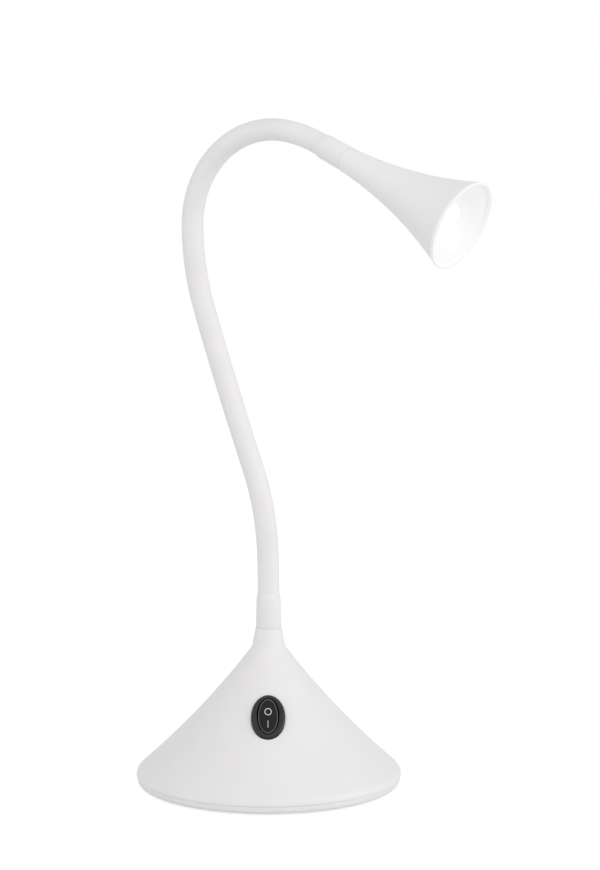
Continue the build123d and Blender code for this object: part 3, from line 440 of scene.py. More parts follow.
class Graph:
    """The nodes of one tree in the making."""

    def __init__(self, tree):
        self.tree = tree

    def node(self, kind, settings=None, inputs=None, output=0):
        """Adds a node, first its settings and then its sockets, and gives one of its outputs."""
        made = self.tree.nodes.new(kind)
        for key, value in (settings or {}).items():
            setattr(made, key, value)
        for key, value in (inputs or {}).items():
            self.feed(made.inputs[key], value)
        return Wire(self, made.outputs[output])

    def feed(self, socket, value):
        """Links a wire to a socket, or sets the socket's own value."""
        if isinstance(value, Wire):
            self.tree.links.new(value.socket, socket)
        elif socket.type == "RGBA":
            socket.default_value = (*value, 1)
        else:
            socket.default_value = value

    def surface(self, shader):
        """Makes a shader the surface of the tree's own output."""
        ends = [n for n in self.tree.nodes if n.type.startswith("OUTPUT")]
        self.feed(ends[0].inputs["Surface"], shader)

    def rays(self, *kinds):
        """1 where a ray is of one of these kinds."""
        found = [self.node("ShaderNodeLightPath", output=f"Is {kind} Ray") for kind in kinds]
        return sum(found[1:], start=found[0])


class Finish(Graph):
    """A material in the making."""

    def __init__(self, name):
        self.name = name
        self.material = bpy.data.materials.new(name)
        self.material.use_nodes = True
        super().__init__(self.material.node_tree)
        self.shader = self.tree.nodes["Principled BSDF"]

    def set(self, **values):
        """Sets or links sockets of the material's own shader."""
        for key, value in values.items():
            self.feed(self.shader.inputs[key.replace("_", " ")], value)

    def noise(self, size, detail=2.0, roughness=0.5):
        """Noise over the surface, about its middle value, with patches of a size."""
        place = self.node("ShaderNodeTexCoord", output="Object")
        scale = 1 / (size * MM)
        inputs = {"Vector": place, "Scale": scale, "Detail": detail, "Roughness": roughness}
        return self.node("ShaderNodeTexNoise", inputs=inputs)

    def tones(self, value, low, high):
        """A colour that goes from low to high over the middle of a value's range."""
        limits = {"Value": value, "From Min": TONES_FROM, "From Max": TONES_TO}
        share = self.node("ShaderNodeMapRange", inputs=limits)
        # Mix has sockets for each type under one name, so the colour's own go by number
        colours = {0: share, 6: low, 7: high}
        return self.node("ShaderNodeMix", {"data_type": "RGBA"}, colours, output=2)

    def bump(self, height, depth):
        """A surface that rises by a depth where a value is high."""
        return self.node("ShaderNodeBump", inputs={"Height": height, "Distance": depth * MM})


def shade(colour, amount):
    """A colour made lighter or darker."""
    return tuple(min(1.0, c * amount) for c in colour)


def moulded(
    name,
    colour,
    roughness,
    cloud=0.01,
    cloud_size=14.0,
    grain=0.006,
    grain_size=0.5,
    gloss=0.5,
    coat=0.0,
):
    """Moulded plastic: faint clouds in its tone, a fine even grain and slightly varied gloss."""
    finish = Finish(name)
    patches = finish.noise(cloud_size, detail=3.0, roughness=0.55)
    fine = finish.noise(grain_size, detail=1.0)
    duller = (patches - NOISE_MIDDLE) * CLOUD_GLOSS + (fine - NOISE_MIDDLE) * GRAIN_GLOSS
    finish.set(
        Base_Color=finish.tones(patches, shade(colour, 1 - cloud), shade(colour, 1 + cloud)),
        Roughness=roughness + duller,
        Normal=finish.bump(fine, grain),
        Specular_IOR_Level=gloss,
        Coat_Weight=coat,
    )
    return finish


def metal(name, colour, roughness, streak=0.04, streak_size=3.0, depth=0.004):
    """Bare metal with small differences in tone and gloss."""
    finish = Finish(name)
    patches = finish.noise(streak_size, detail=4.0, roughness=0.6)
    fine = finish.noise(streak_size / STREAK_FINENESS, detail=1.0)
    finish.set(
        Base_Color=finish.tones(patches, shade(colour, 1 - streak), shade(colour, 1 + streak)),
        Metallic=1.0,
        Roughness=roughness + (patches - NOISE_MIDDLE) * STREAK_GLOSS,
        Normal=finish.bump(fine, depth),
    )
    return finish


def diffuser(name, colour, roughness, strength, fade=0.03, fade_size=4.0):
    """Opal lens, lit from behind: it fades a little in patches of its own moulding."""
    finish = Finish(name)
    patches = finish.noise(fade_size)
    glow = finish.tones(patches, shade(colour, 1 - fade), colour)
    finish.set(
        Base_Color=glow,
        Roughness=roughness + (patches - NOISE_MIDDLE) * CLOUD_GLOSS,
        Emission_Color=glow,
        Emission_Strength=strength,
    )
    return finish


SHELL_WHITE = (0.832, 0.816, 0.823)
# The head's shell is the same white plastic as the base cone, painted lighter
HEAD_WHITE_PAINTED_LIGHTER = (0.866, 0.85, 0.856)
SLEEVE_WHITE = (0.838, 0.822, 0.826)
PLATE_WHITE = shade(SHELL_WHITE, 0.98)
SHELL_GLOSS = 0.3
SWITCH_GRAIN = {"cloud": 0.08, "cloud_size": 3.0, "grain_size": 0.35}
made_finishes = (
    moulded("white_shell", SHELL_WHITE, 0.42, gloss=SHELL_GLOSS),
    moulded("white_plate", PLATE_WHITE, 0.46, gloss=SHELL_GLOSS),
    moulded(
        "white_sleeve",
        SLEEVE_WHITE,
        0.55,
        cloud=0.018,
        cloud_size=18.0,
        grain=0.012,
        grain_size=0.8,
        gloss=SHELL_GLOSS,
    ),
    moulded("head_white_painted_lighter", HEAD_WHITE_PAINTED_LIGHTER, 0.42, gloss=SHELL_GLOSS),
    # The lip's finish: the head's white with a painted glow
    moulded("lip_painted_glow", HEAD_WHITE_PAINTED_LIGHTER, 0.42, gloss=SHELL_GLOSS),
    moulded("reflector_white", (0.9, 0.888, 0.892), 0.3, coat=0.2),
    diffuser("lens_opal", (1.0, 0.995, 0.98), 0.33, strength=2.4),
    moulded("lens_rim", (0.88, 0.875, 0.86), 0.3),
    moulded("switch_dark", (0.015, 0.0145, 0.016), 0.3, grain=0.008, gloss=0.35, **SWITCH_GRAIN),
    moulded("rocker_dark", (0.013, 0.0135, 0.0135), 0.4, grain=0.01, gloss=0.12, **SWITCH_GRAIN),
    # A painted highlight for the rocker's rounded edge
    moulded("rocker_painted_highlight", (0.065, 0.065, 0.064), 0.3, grain=0.004, **SWITCH_GRAIN),
    moulded("mark_paint", (0.66, 0.67, 0.66), 0.5, cloud=0.05, cloud_size=0.8, grain=0.004),
    metal("steel", (0.56, 0.56, 0.58), 0.36),
    metal("ballast_iron", (0.16, 0.155, 0.15), 0.62, streak=0.2, streak_size=5.0, depth=0.05),
    metal("blade_brass", (0.72, 0.55, 0.25), 0.3),
    metal("sink_metal", (0.78, 0.78, 0.8), 0.34),
    metal("can_grey", (0.25, 0.26, 0.3), 0.4),
    moulded("board_green", (0.02, 0.12, 0.05), 0.35, cloud=0.1, cloud_size=2.0),
    moulded("core_dark", (0.05, 0.045, 0.04), 0.55, cloud=0.15, cloud_size=2.5),
    moulded("terminal_plastic", (0.03, 0.1, 0.25), 0.4, cloud=0.05),
    moulded("lead_skin", (0.6, 0.59, 0.58), 0.5, cloud=0.04, cloud_size=4.0),
    moulded("bush_rubber", (0.74, 0.725, 0.735), 0.6, cloud=0.03, cloud_size=5.0, grain=0.015),
    moulded("pad_rubber", (0.045, 0.045, 0.047), 0.8, cloud=0.2, cloud_size=6.0, grain=0.06),
    moulded("led_white", (0.85, 0.85, 0.83), 0.4, cloud=0.03, cloud_size=2.0),
    moulded("phosphor", (0.9, 0.62, 0.06), 0.3, cloud=0.08, cloud_size=0.8),
)
finishes = {finish.name: finish for finish in made_finishes}

# The bowl and the lip have a painted glow in the lens's light colour; the lens's rim, the side
# of the lamp's own lens, glows more dimly than its dome
PAINTED_AND_RIM_GLOW_COLOUR = (1.0, 0.99, 0.985)
PAINTED_AND_RIM_GLOW = {"reflector_white": 0.055, "lip_painted_glow": 0.09, "lens_rim": 0.3}
for lit, strength in PAINTED_AND_RIM_GLOW.items():
    finishes[lit].set(Emission_Color=PAINTED_AND_RIM_GLOW_COLOUR, Emission_Strength=strength)

for row in frame["record"]["subparts"]:
    skin = frame["nodes"][row["node"]].data.materials
    skin.clear()
    skin.append(finishes[row["material_slot"]].material)


# Base cone with the seat of the switch and the hole of the cord bush
SEAM_HEIGHT = PLATE_BOTTOM + PLATE_THICKNESS
NECK_FOOT = NECK_TOP - NECK_LENGTH
NECK_SEAT = NECK_TOP - NECK_SOLID_LENGTH
neck_foot = Vector((NECK_FOOT_RADIUS, NECK_FOOT))
rim_top = Vector((BASE_RADIUS, SEAM_HEIGHT + RIM_HEIGHT))
cone_chord = rim_top - neck_foot
cone_inward = Vector((cone_chord.y, -cone_chord.x)).normalized()
cone_size = arc_size(cone_chord.length, CONE_SAG)
cone_centre = (neck_foot + rim_top) / 2 - cone_inward * (cone_size - CONE_SAG)
inner_size = cone_size + SHELL_WALL
inner_reach = sqrt(inner_size ** 2 - (cone_centre.y - NECK_SEAT) ** 2)
inner_seat = Vector((cone_centre.x - inner_reach, NECK_SEAT))
inner_rim = rim_top + (rim_top - cone_centre).normalized() * SHELL_WALL
inner_sag = stand_off(inner_size, (inner_rim - inner_seat).length)

switch_slope = asin((cone_centre.y - SWITCH_HEIGHT) / cone_size)
switch_out = Vector((0, -cos(switch_slope), sin(switch_slope)))
switch_up = Vector((0, sin(switch_slope), cos(switch_slope)))
switch_radius = cone_centre.x - cone_size * cos(switch_slope)
seat_origin = Vector((0, -switch_radius, SWITCH_HEIGHT)) - switch_out * SEAT_RECESS
seat = upright(seat_origin, switch_out, ALONG_X)
bush_origin = Vector((0, BASE_RADIUS - BUSH_LENGTH, BUSH_AXIS_HEIGHT))
bush_place = upright(bush_origin, ALONG_Y, ALONG_X)

cone = Outline(NECK_BORE, NECK_TOP).line((NECK_BORE, NECK_SEAT), inner_seat)
cone.arc(*inner_rim, -inner_sag, CONE_INSIDE_STEPS)
cone.line((inner_rim.x, SEAM_HEIGHT), (BASE_RADIUS, SEAM_HEIGHT), rim_top)
cone.arc(*neck_foot, CONE_SAG, CONE_STEPS).line((NECK_RADIUS, NECK_TOP)).closed()
shape = cone.turned(FINE_STEPS)
rounded(shape, ring_at(shape, rim_top), RIM_ROUND, RIM_SEGMENTS)
rounded(shape, ring_at(shape, neck_foot), NECK_FILLET, BROAD_SEGMENTS)
rounded(shape, ring_at(shape, (NECK_RADIUS, NECK_TOP)), NECK_EDGE_ROUND, EDGE_SEGMENTS)
rounded(shape, ring_at(shape, (BASE_RADIUS, SEAM_HEIGHT)), SEAM_ROUND, FINE_SEGMENTS)
base_cone = piece("base_cone_skin", shape, "white_shell")


def oval_cutter(half, gap, low, high, matrix):
    """An upright block with an oval section, wider all round by a gap."""
    bm = bmesh.new()
    wide = (half[0] + gap, half[1] + gap)
    loop = ellipse(bm, wide, low)
    closed_over(bm, loop)
    closed_over(bm, drawn_out(bm, loop, wide, high, wide))
    bmesh.ops.recalc_face_normals(bm, faces=bm.faces[:])
    return piece("oval_cutter", bm, matrix=matrix)


cut(
    base_cone,
    oval_cutter(BEZEL_HALF, SEAT_GAP, 0, HOUSING_DEPTH, seat),
    oval_cutter(HOUSING_HALF, SEAT_GAP, -HOUSING_DEPTH, BEZEL_THICKNESS, seat),
    oval_cutter((BUSH_RADIUS, BUSH_RADIUS), BUSH_HOLE_GAP, 0, BUSH_LENGTH, bush_place),
)
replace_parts(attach(base_cone, "base"), "base_cone")

# Base plate with the countersinks of its screws
PLATE_RADIUS = BASE_RADIUS - PLATE_INSET
plate_inner = PLATE_RADIUS - PLATE_WALL
floor_top = PLATE_BOTTOM + PLATE_FLOOR
plate = Outline(plate_inner, PLATE_BOTTOM)
plate.line((PLATE_RADIUS, PLATE_BOTTOM), (PLATE_RADIUS, SEAM_HEIGHT))
plate.line((plate_inner, SEAM_HEIGHT), (plate_inner, floor_top))
shape = plate.turned(FINE_STEPS)
closed_over(shape, ring_at(shape, (plate_inner, PLATE_BOTTOM)))
closed_over(shape, ring_at(shape, (plate_inner, floor_top)))
bmesh.ops.recalc_face_normals(shape, faces=shape.faces[:])
rounded(shape, ring_at(shape, (PLATE_RADIUS, PLATE_BOTTOM)), PLATE_EDGE_ROUND, BROAD_SEGMENTS)
rounded(shape, ring_at(shape, (PLATE_RADIUS, SEAM_HEIGHT)), SEAM_ROUND, FINE_SEGMENTS)
base_plate = piece("base_plate_skin", shape, "white_plate")


def screw_cutter(turn):
    """A countersunk screw's outline with a gap round it, at its place on the ring of screws."""
    head, shank = SCREW_HEAD_RADIUS + SCREW_GAP, SCREW_SHANK_RADIUS + SCREW_GAP
    sunk = Outline(0, -SCREW_GAP).line((head, -SCREW_GAP), (head, 0), (shank, head - shank))
    shape = sunk.line((shank, SCREW_LENGTH), (0, SCREW_LENGTH)).turned(ARM_STEPS)
    ring = BASE_RADIUS * SCREW_RING_SHARE
    spot = Vector((cos(turn) * ring, sin(turn) * ring, PLATE_BOTTOM))
    return piece("screw_cutter", shape, matrix=upright(spot, UP, ALONG_X))


turns = [FULL_TURN * index / SCREW_COUNT - pi / 2 for index in range(SCREW_COUNT)]
cut(base_plate, *(screw_cutter(turn) for turn in turns))
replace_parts(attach(base_plate, "base"), "base_plate")

# Cord bush
bush = Outline(BUSH_BORE, 0).line((BUSH_FLANGE_RADIUS, 0), (BUSH_FLANGE_RADIUS, BUSH_FLANGE))
bush.line((BUSH_RADIUS, BUSH_FLANGE), (BUSH_RADIUS, BUSH_LENGTH))
shape = bush.line((BUSH_BORE, BUSH_LENGTH)).closed().turned(ARM_STEPS)
rounded(shape, ring_at(shape, (BUSH_RADIUS, BUSH_LENGTH)), BUSH_NOSE_ROUND, NOSE_SEGMENTS)
rounded(shape, ring_at(shape, (BUSH_BORE, BUSH_LENGTH)), BUSH_BORE_ROUND, SMALL_SEGMENTS)
cord_bush = piece("cord_bush_skin", shape, "bush_rubber", bush_place)
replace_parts(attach(cord_bush, "base"), "cord_bush")

# Switch bezel and housing
shape = bmesh.new()
outer = ellipse(shape, BEZEL_HALF, BEZEL_THICKNESS)
inner = ellipse(shape, WELL_HALF, BEZEL_THICKNESS)
bmesh.ops.bridge_loops(shape, edges=outer + inner)
wall = drawn_out(shape, outer, BEZEL_HALF, 0, BEZEL_HALF)
wall = drawn_out(shape, wall, HOUSING_HALF, 0, BEZEL_HALF)
closed_over(shape, drawn_out(shape, wall, HOUSING_HALF, -HOUSING_DEPTH, HOUSING_HALF))
closed_over(shape, drawn_out(shape, inner, WELL_HALF, BEZEL_THICKNESS - WELL_DEPTH, WELL_HALF))
bmesh.ops.recalc_face_normals(shape, faces=shape.faces[:])
rounded(shape, outer, BEZEL_ROUND, BROAD_SEGMENTS)
rounded(shape, inner, BEZEL_LIP_ROUND, EDGE_SEGMENTS)
bezel = piece("switch_bezel", shape, "switch_dark", seat)
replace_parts(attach(bezel, "base"), "switch_housing")

# Rocker: a dished oval with barrelled ends that rests tilted on its trunnions
tilt = radians(ROCKER_TILT)
pivot = seat_origin + switch_out * (BEZEL_THICKNESS - PIVOT_DEPTH)
rocker_place = upright(pivot, switch_out * cos(tilt) - switch_up * sin(tilt), ALONG_X)


def rocker_half(height):
    """Half axes of the rocker at a height over its pivot: an oval that the barrel narrows."""
    narrowing = sqrt(1 - (height / ROCKER_BARREL_HALF[1]) ** 2)
    pairs = zip(ROCKER_HALF, ROCKER_BARREL_HALF)
    return tuple(min(oval, barrel * narrowing) for oval, barrel in pairs)


def dish(y):
    """How far the rocker's face lies under its crown at a distance along it."""
    return ROCKER_DISH * max(0.0, 1 - (y / ROCKER_TOP_HALF_LENGTH) ** 2)


shape = bmesh.new()
was = rocker_half(-ROCKER_KEEL)
loop = ellipse(shape, was, -ROCKER_KEEL)
closed_over(shape, loop)
for step in range(1, ROCKER_RINGS + 1):
    height = -ROCKER_KEEL + (ROCKER_CROWN + ROCKER_KEEL) * step / ROCKER_RINGS
    half = rocker_half(height)
    loop = drawn_out(shape, loop, half, height, was)
    was = half
top = loop
for step in range(1, ROCKER_RINGS):
    half = tuple(size * (1 - step / ROCKER_RINGS) for size in rocker_half(ROCKER_CROWN))
    loop = drawn_out(shape, loop, half, ROCKER_CROWN, was)
    was = half
closed_over(shape, loop)
bmesh.ops.recalc_face_normals(shape, faces=shape.faces[:])
# The rounded edge of the rocker's face takes a lighter finish: a painted highlight
for face in rounded(shape, top, ROCKER_EDGE, SMALL_SEGMENTS):
    face.material_index = SECOND_FINISH
for v in shape.verts:
    share = max(0.0, 1 - (ROCKER_CROWN - v.co.z / MM) / ROCKER_DISH_REACH)
    v.co.z -= dish(v.co.y / MM) * share * MM
trunnion = Outline(0, -PIVOT_HALF_SPAN)
trunnion.line((PIVOT_RADIUS, -PIVOT_HALF_SPAN), (PIVOT_RADIUS, PIVOT_HALF_SPAN))
axle = trunnion.line((0, PIVOT_HALF_SPAN)).turned(ARM_STEPS)
across = Matrix.Rotation(pi / 2, 3, "Y")
bmesh.ops.rotate(axle, cent=(0, 0, 0), matrix=across, verts=axle.verts[:])
joined(shape, axle)
rocker = piece("switch_rocker_skin", shape, "rocker_dark", rocker_place, second="rocker_painted_highlight")
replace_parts(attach(rocker, "rocker"), "switch_rocker")


def printed(name, bm, place):
    """A mark printed on the rocker's dished face."""
    bmesh.ops.translate(bm, vec=(0, place * MM, 0), verts=bm.verts[:])
    for v in bm.verts:
        v.co.z += (ROCKER_CROWN - dish(v.co.y / MM) + MARK_LIFT) * MM
    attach(piece(name, bm, "mark_paint", rocker_place), "rocker")


shape = bmesh.new()
hole = OFF_MARK_RADIUS - OFF_MARK_STROKE
outer = ellipse(shape, (OFF_MARK_RADIUS, OFF_MARK_RADIUS), MARK_THICKNESS / 2)
inner = ellipse(shape, (hole, hole), MARK_THICKNESS / 2)
bmesh.ops.bridge_loops(shape, edges=outer + inner)
same = (1, 1)
outer_under = drawn_out(shape, outer, same, -MARK_THICKNESS / 2, same)
inner_under = drawn_out(shape, inner, same, -MARK_THICKNESS / 2, same)
bmesh.ops.bridge_loops(shape, edges=outer_under + inner_under)
bmesh.ops.recalc_face_normals(shape, faces=shape.faces[:])
printed("mark_off", shape, OFF_MARK_PLACE)

shape = bmesh.new()
bmesh.ops.create_cube(shape, size=MM)
stroke = (ON_MARK_WIDTH, ON_MARK_LENGTH, MARK_THICKNESS)
bmesh.ops.scale(shape, vec=stroke, verts=shape.verts[:])
tall = MARK_THICKNESS / 2 * MM
corners = [e for e in shape.edges if abs(e.verts[0].co.z - e.verts[1].co.z) > tall]
rounded(shape, corners, MARK_CORNER, SMALL_SEGMENTS)
printed("mark_on", shape, ON_MARK_PLACE)

# Gooseneck: seven lengths of sleeve, each over the two stretches on either side of one hinge,
# with the boots at both ends
azimuth = radians(ARM_AZIMUTH)
arm_out = Vector((cos(azimuth), sin(azimuth), 0))
arm_side = Vector((sin(azimuth), -cos(azimuth), 0))


def heading(lean):
    """The way that the arm runs where it leans out by an angle."""
    return arm_out * sin(lean) + UP * cos(lean)


def advance(point, lean, bend, length):
    """The point and the lean at the end of a stretch that bends evenly."""
    half = bend / 2
    return point + heading(lean + half) * length * sin(half) / half, lean + bend


# Two stretches for each hinge, one below and one above it
half_bends = [SECTION_BENDS[0]]
for whole in SECTION_BENDS[1:-1]:
    half_bends += [whole / 2, whole / 2]
half_bends.append(SECTION_BENDS[-1])
stretch_length = FLEX_LENGTH / STATION_COUNT / 2
stretches = []
arm_end, lean = UP * (NECK_TOP + LOWER_BOOT_LENGTH + BOOT_SHOULDER), 0.0
for bend in half_bends:
    stretches.append((arm_end, lean, radians(bend)))
    arm_end, lean = advance(arm_end, lean, radians(bend), stretch_length)
head_axis = heading(lean)
head_seam = arm_end + head_axis * (UPPER_BOOT_LENGTH + BOOT_SHOULDER)


def boot(seam, direction, radius, boot_length):
    """The sleeve's swollen end over a ferrule, with an S-shaped shoulder of two arcs."""
    end = boot_length + BOOT_SHOULDER
    swollen = ARM_RADIUS + BOOT_SWELL
    half_step = Vector((BOOT_SWELL, BOOT_SHOULDER)).length / 2
    sag = stand_off(half_step * half_step / BOOT_SWELL, half_step)
    wall = Outline(SLEEVE_BORE, end)
    wall.line((SLEEVE_BORE, FERRULE_SOCKET), (FERRULE_CLEAR_RADIUS, FERRULE_SOCKET))
    wall.line((FERRULE_CLEAR_RADIUS, 0), (radius, 0), (swollen, boot_length))
    wall.arc(swollen - BOOT_SWELL / 2, boot_length + BOOT_SHOULDER / 2, -sag, SHOULDER_STEPS)
    wall.arc(ARM_RADIUS, end, sag, SHOULDER_STEPS)
    bm = wall.turned(ARM_STEPS)
    rounded(bm, ring_at(bm, (radius, 0)), BOOT_EDGE_ROUND, SMALL_SEGMENTS)
    bmesh.ops.transform(bm, matrix=upright(seam, direction, arm_side), verts=bm.verts[:])
    return bm


def sleeve(name, pair, end=None, foot=True, tip=True):
    """One length of sleeve along two stretches of the arm, welded to a boot where it has one."""
    bm = bmesh.new()
    stand = upright(pair[0][0], heading(pair[0][1]), arm_side)
    first, last = [], []
    for radius in (ARM_RADIUS, SLEEVE_BORE):
        outside = set(bm.faces)
        ring = bmesh.ops.create_circle(
            bm,
            cap_ends=False,
            segments=ARM_STEPS,
            radius=radius * MM,
            matrix=stand,
        )
        loop = loop_of(ring["verts"])
        first += loop
        for point, lean, bend in pair:
            centre = point + heading(lean + pi / 2) * stretch_length / bend
            made = bmesh.ops.spin(
                bm,
                geom=[*dict.fromkeys(v for e in loop for v in e.verts), *loop],
                cent=centre * MM,
                axis=-arm_side,
                angle=bend,
                steps=BEND_STEPS,
            )
            loop = [e for e in made["geom_last"] if isinstance(e, bmesh.types.BMEdge)]
        last += loop
    # Walls are bridged straight across only when the bore's faces turn the other way
    bmesh.ops.reverse_faces(bm, faces=[f for f in bm.faces if f not in outside])
    if foot:
        bmesh.ops.bridge_loops(bm, edges=first)
    if tip:
        bmesh.ops.bridge_loops(bm, edges=last)
    if end:
        joined(bm, end)
        bmesh.ops.remove_doubles(bm, verts=bm.verts[:], dist=BOOT_WELD)
    bmesh.ops.recalc_face_normals(bm, faces=bm.faces[:])
    return piece(name, bm, "white_sleeve")


reach = BEND_REACH / stretch_length
for station in range(1, STATION_COUNT + 1):
    pair = stretches[2 * station - 2:2 * station]
    below, above, extras = f"neck_{station - 1}", f"neck_{station}", {}
    if station == 1:
        below = "base"
        lower_boot = boot(UP * NECK_TOP, UP, LOWER_BOOT_RADIUS, LOWER_BOOT_LENGTH)
        extras = {"end": lower_boot, "foot": False}
    if station == STATION_COUNT:
        above = "head"
        upper_boot = boot(head_seam, -head_axis, UPPER_BOOT_RADIUS, UPPER_BOOT_LENGTH)
        extras = {"end": upper_boot, "tip": False}
    made = sleeve(f"sleeve_{station}", pair, **extras)
    point, lean, bend = pair[0]
    before, _ = advance(point, lean, bend * (1 - reach), stretch_length - BEND_REACH)
    point, lean, bend = pair[1]
    after, _ = advance(point, lean, bend * reach, BEND_REACH)
    before * MM
    after * MM
    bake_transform(made)
    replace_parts(made, f"arm_sleeve_{station - 1}", f"arm_sleeve_{station}")

# Head: trumpet shell, reflector and lens, all turned about the head's axis
head_place = upright(head_seam, head_axis, arm_side)
LIP_RADIUS = MOUTH_RADIUS - LIP_WIDTH
LIP_HEIGHT = HEAD_LENGTH - LIP_DEPTH
flare_start = Vector((HEAD_SEAM_RADIUS, 0))
flare = Vector((MOUTH_RADIUS, HEAD_LENGTH)) - flare_start
flare_size = arc_size(flare.length, FLARE_SAG)
flare_outward = Vector((flare.y, -flare.x)).normalized()
flare_centre = flare_start + flare / 2 + flare_outward * (flare_size - FLARE_SAG)


def inner_flare(height):
    """The point of the trumpet's inner wall at a height."""
    reach = flare_size + HEAD_WALL
    return Vector((flare_centre.x - sqrt(reach ** 2 - (height - flare_centre.y) ** 2), height))


inner_low, inner_high = inner_flare(HEAD_SOLID_LENGTH), inner_flare(LIP_HEIGHT)
inner_sag = stand_off(flare_size + HEAD_WALL, (inner_high - inner_low).length)
trumpet = Outline(HEAD_BORE, 0).line(flare_start)
trumpet.arc(MOUTH_RADIUS, HEAD_LENGTH, FLARE_SAG, FLARE_STEPS)
trumpet.line((LIP_RADIUS, HEAD_LENGTH), (LIP_RADIUS, LIP_HEIGHT), inner_high)
trumpet.arc(*inner_low, -inner_sag, FLARE_INSIDE_STEPS)
shape = trumpet.line((HEAD_BORE, HEAD_SOLID_LENGTH)).closed().turned(ROUND_STEPS)
rounded(shape, ring_at(shape, (MOUTH_RADIUS, HEAD_LENGTH)), MOUTH_ROUND, EDGE_SEGMENTS)
rounded(shape, ring_at(shape, (LIP_RADIUS, HEAD_LENGTH)), LIP_INNER_ROUND, BROAD_SEGMENTS)
rounded(shape, ring_at(shape, flare_start), HEAD_SEAM_ROUND, FINE_SEGMENTS)
# Faces on the lip and just inside the mouth take a second finish with a painted glow
lip_edge = (MOUTH_RADIUS - MOUTH_ROUND / 2) * MM
for face in shape.faces:
    middle = face.calc_center_median()
    if middle.z > LIP_HEIGHT * MM and middle.xy.length < lip_edge:
        face.material_index = SECOND_FINISH
head_shell = piece("head_shell_skin", shape, "white_shell", head_place, second="lip_painted_glow")
# The head's shell takes the lighter painted copy of the shell's white
head_shell.data.materials[0] = finishes["head_white_painted_lighter"].material
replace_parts(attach(head_shell, "head"), "head_shell")

FLANGE_TOP = LIP_HEIGHT + FLANGE_THICKNESS
BOWL_RADIUS = LIP_RADIUS - BOWL_MARGIN
APERTURE_HEIGHT = HEAD_LENGTH - BOWL_DEPTH
LENS_HEIGHT = APERTURE_HEIGHT - APERTURE_EDGE
LENS_RADIUS = APERTURE_RADIUS + LENS_LEDGE
SKIRT_BORE = LENS_RADIUS + LENS_GAP
SKIRT_RADIUS = SKIRT_BORE + SKIRT_WALL
skirt_foot = LENS_HEIGHT - SKIRT_LENGTH
bowl = Outline(LIP_RADIUS, LIP_HEIGHT).line((LIP_RADIUS, FLANGE_TOP), (BOWL_RADIUS, FLANGE_TOP))
bowl.arc(APERTURE_RADIUS, APERTURE_HEIGHT, -BOWL_SAG, BOWL_STEPS)
bowl.line((APERTURE_RADIUS, LENS_HEIGHT), (SKIRT_BORE, LENS_HEIGHT))
bowl.line((SKIRT_BORE, skirt_foot), (SKIRT_RADIUS, skirt_foot))
bowl.line((SKIRT_RADIUS, LENS_HEIGHT), (LIP_RADIUS - REFLECTOR_MARGIN, LIP_HEIGHT)).closed()
shape = bowl.turned(ROUND_STEPS)
aperture = ring_at(shape, (APERTURE_RADIUS, APERTURE_HEIGHT))
rounded(shape, aperture, APERTURE_ROUND, SMALL_SEGMENTS)
reflector = piece("reflector_skin", shape, "reflector_white", head_place)
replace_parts(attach(reflector, "head"), "reflector")

lens_front = APERTURE_HEIGHT + LENS_PROUD
front_radius = APERTURE_RADIUS - LENS_GAP
dome_chord = Vector((front_radius, LENS_DOME)).length
dome_sag = stand_off(arc_size(2 * front_radius, LENS_DOME), dome_chord)
lens_back = LENS_HEIGHT - LENS_THICKNESS
dome = Outline(0, lens_back).line((LENS_RADIUS, lens_back), (LENS_RADIUS, LENS_HEIGHT))
dome.line((front_radius, LENS_HEIGHT), (front_radius, lens_front))
shape = dome.arc(0, lens_front + LENS_DOME, -dome_sag, DOME_STEPS).turned(ROUND_STEPS)
rounded(shape, ring_at(shape, (front_radius, lens_front)), LENS_EDGE_ROUND, SMALL_SEGMENTS)
clear_radius = (front_radius - LENS_EDGE_ROUND) * MM
for face in shape.faces:
    if face.calc_center_median().xy.length > clear_radius:
        face.material_index = SECOND_FINISH
lens = piece("lens_skin", shape, "lens_opal", head_place, second="lens_rim")
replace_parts(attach(lens, "head"), "lens")


# Studio: a pale floor that keeps a soft shadow, white all round, and broad soft lights
WHITE = (1.0, 1.0, 1.0)
FLOOR_HALF = 1.3
FLOOR_DROP = 0.1
FLOOR_COLOUR = (0.9, 0.9, 0.9)
FLOOR_ROUGHNESS = 0.9
FLOOR_GLOW = 0.83
FLOOR_MATT = (0.3, 0.3, 0.3)
SKY_LIGHT = 0.9
BACK_LIGHT = 0.4
BACK_FROM, BACK_TO = -0.4, 0.6
LIGHT_SIZE = 1.2
SOFT_LIGHTS = {
    "high_front": ((0.2, -1.5, 1.5), 3.8),
    "right_side": ((1.6, -0.3, 0.6), 6.0),
    "left_side": ((-1.6, -0.5, 0.8), 1.4),
}
LAMP_MIDDLE = Vector((0.0, 0.0, 0.16))


def studio_floor():
    """A plain floor that the camera sees as white but for shadows."""
    finish = Finish("studio_floor")
    finish.set(Base_Color=FLOOR_COLOUR, Roughness=FLOOR_ROUGHNESS)
    glow = finish.node("ShaderNodeEmission", inputs={"Color": WHITE, "Strength": FLOOR_GLOW})
    matt = finish.node("ShaderNodeBsdfDiffuse", inputs={"Color": FLOOR_MATT})
    seen = finish.node("ShaderNodeAddShader", inputs={0: glow, 1: matt})
    plain = Wire(finish, finish.shader.outputs[0])
    rays = finish.rays("Camera", "Glossy", "Transmission")
    finish.surface(finish.node("ShaderNodeMixShader", inputs={0: rays, 1: plain, 2: seen}))
    return finish.material


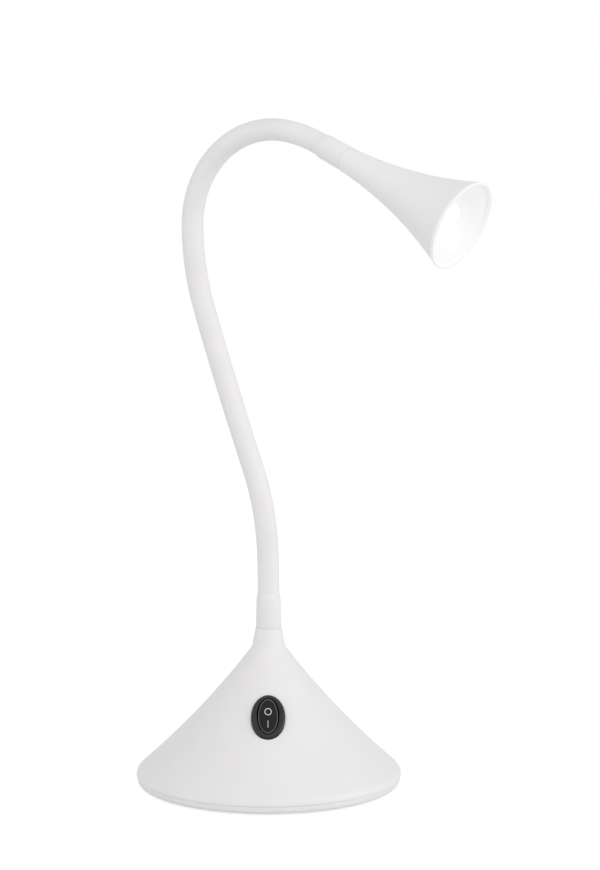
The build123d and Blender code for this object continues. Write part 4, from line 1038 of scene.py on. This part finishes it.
def studio_sky():
    """White where the camera sees it, and soft light from all round, weaker from behind."""
    world = bpy.data.worlds.new("studio")
    world.use_nodes = True
    sky = Graph(world.node_tree)
    direction = sky.node("ShaderNodeTexCoord", output="Generated")
    depth = sky.node("ShaderNodeSeparateXYZ", inputs={0: direction}, output="Y")
    limits = {"Value": depth, "From Min": BACK_FROM, "From Max": BACK_TO}
    behind = sky.node("ShaderNodeMapRange", inputs=limits)
    front = sky.node("ShaderNodeBackground", inputs={"Color": WHITE, "Strength": SKY_LIGHT})
    back = sky.node("ShaderNodeBackground", inputs={"Color": WHITE, "Strength": BACK_LIGHT})
    soft = sky.node("ShaderNodeMixShader", inputs={0: behind, 1: front, 2: back})
    white = sky.node("ShaderNodeBackground", inputs={"Color": WHITE, "Strength": 1.0})
    rays = sky.rays("Camera", "Glossy", "Transmission")
    sky.surface(sky.node("ShaderNodeMixShader", inputs={0: rays, 1: soft, 2: white}))
    return world


def soft_light(name, place, power):
    """A square soft box that faces the middle of the lamp."""
    data = bpy.data.lights.new(name, "AREA")
    data.shape = "SQUARE"
    data.size = LIGHT_SIZE
    data.energy = power
    made = bpy.data.objects.new(name, data)
    made.location = place
    made.rotation_euler = (LAMP_MIDDLE - Vector(place)).to_track_quat("-Z", "Y").to_euler()
    bpy.context.scene.collection.objects.link(made)


shape = bmesh.new()
bmesh.ops.create_grid(shape, x_segments=1, y_segments=1, size=FLOOR_HALF)
bmesh.ops.translate(shape, vec=UP * -FLOOR_DROP * MM, verts=shape.verts[:])
floor = piece("studio_floor", shape)
floor.data.materials.append(studio_floor())
bpy.context.scene.world = studio_sky()
for name, (place, power) in SOFT_LIGHTS.items():
    soft_light(name, place, power)

# Camera at the photograph's viewing angle. The sensor's width spans the image's longer side,
# which is its height.
IMAGE_HEIGHT = 870
FOCAL_PIXELS = 3016.0
CAMERA_PLACE = (0.01475, -1.3949, 0.3556)
CAMERA_PITCH = 7.722
view = bpy.data.cameras.new("photo_camera")
view.lens = FOCAL_PIXELS * view.sensor_width / IMAGE_HEIGHT
camera = bpy.data.objects.new("photo_camera", view)
camera.location = CAMERA_PLACE
camera.rotation_euler = (radians(90 - CAMERA_PITCH), 0, 0)
bpy.context.scene.collection.objects.link(camera)
bpy.context.scene.camera = camera
bpy.context.scene.view_settings.view_transform = "Standard"
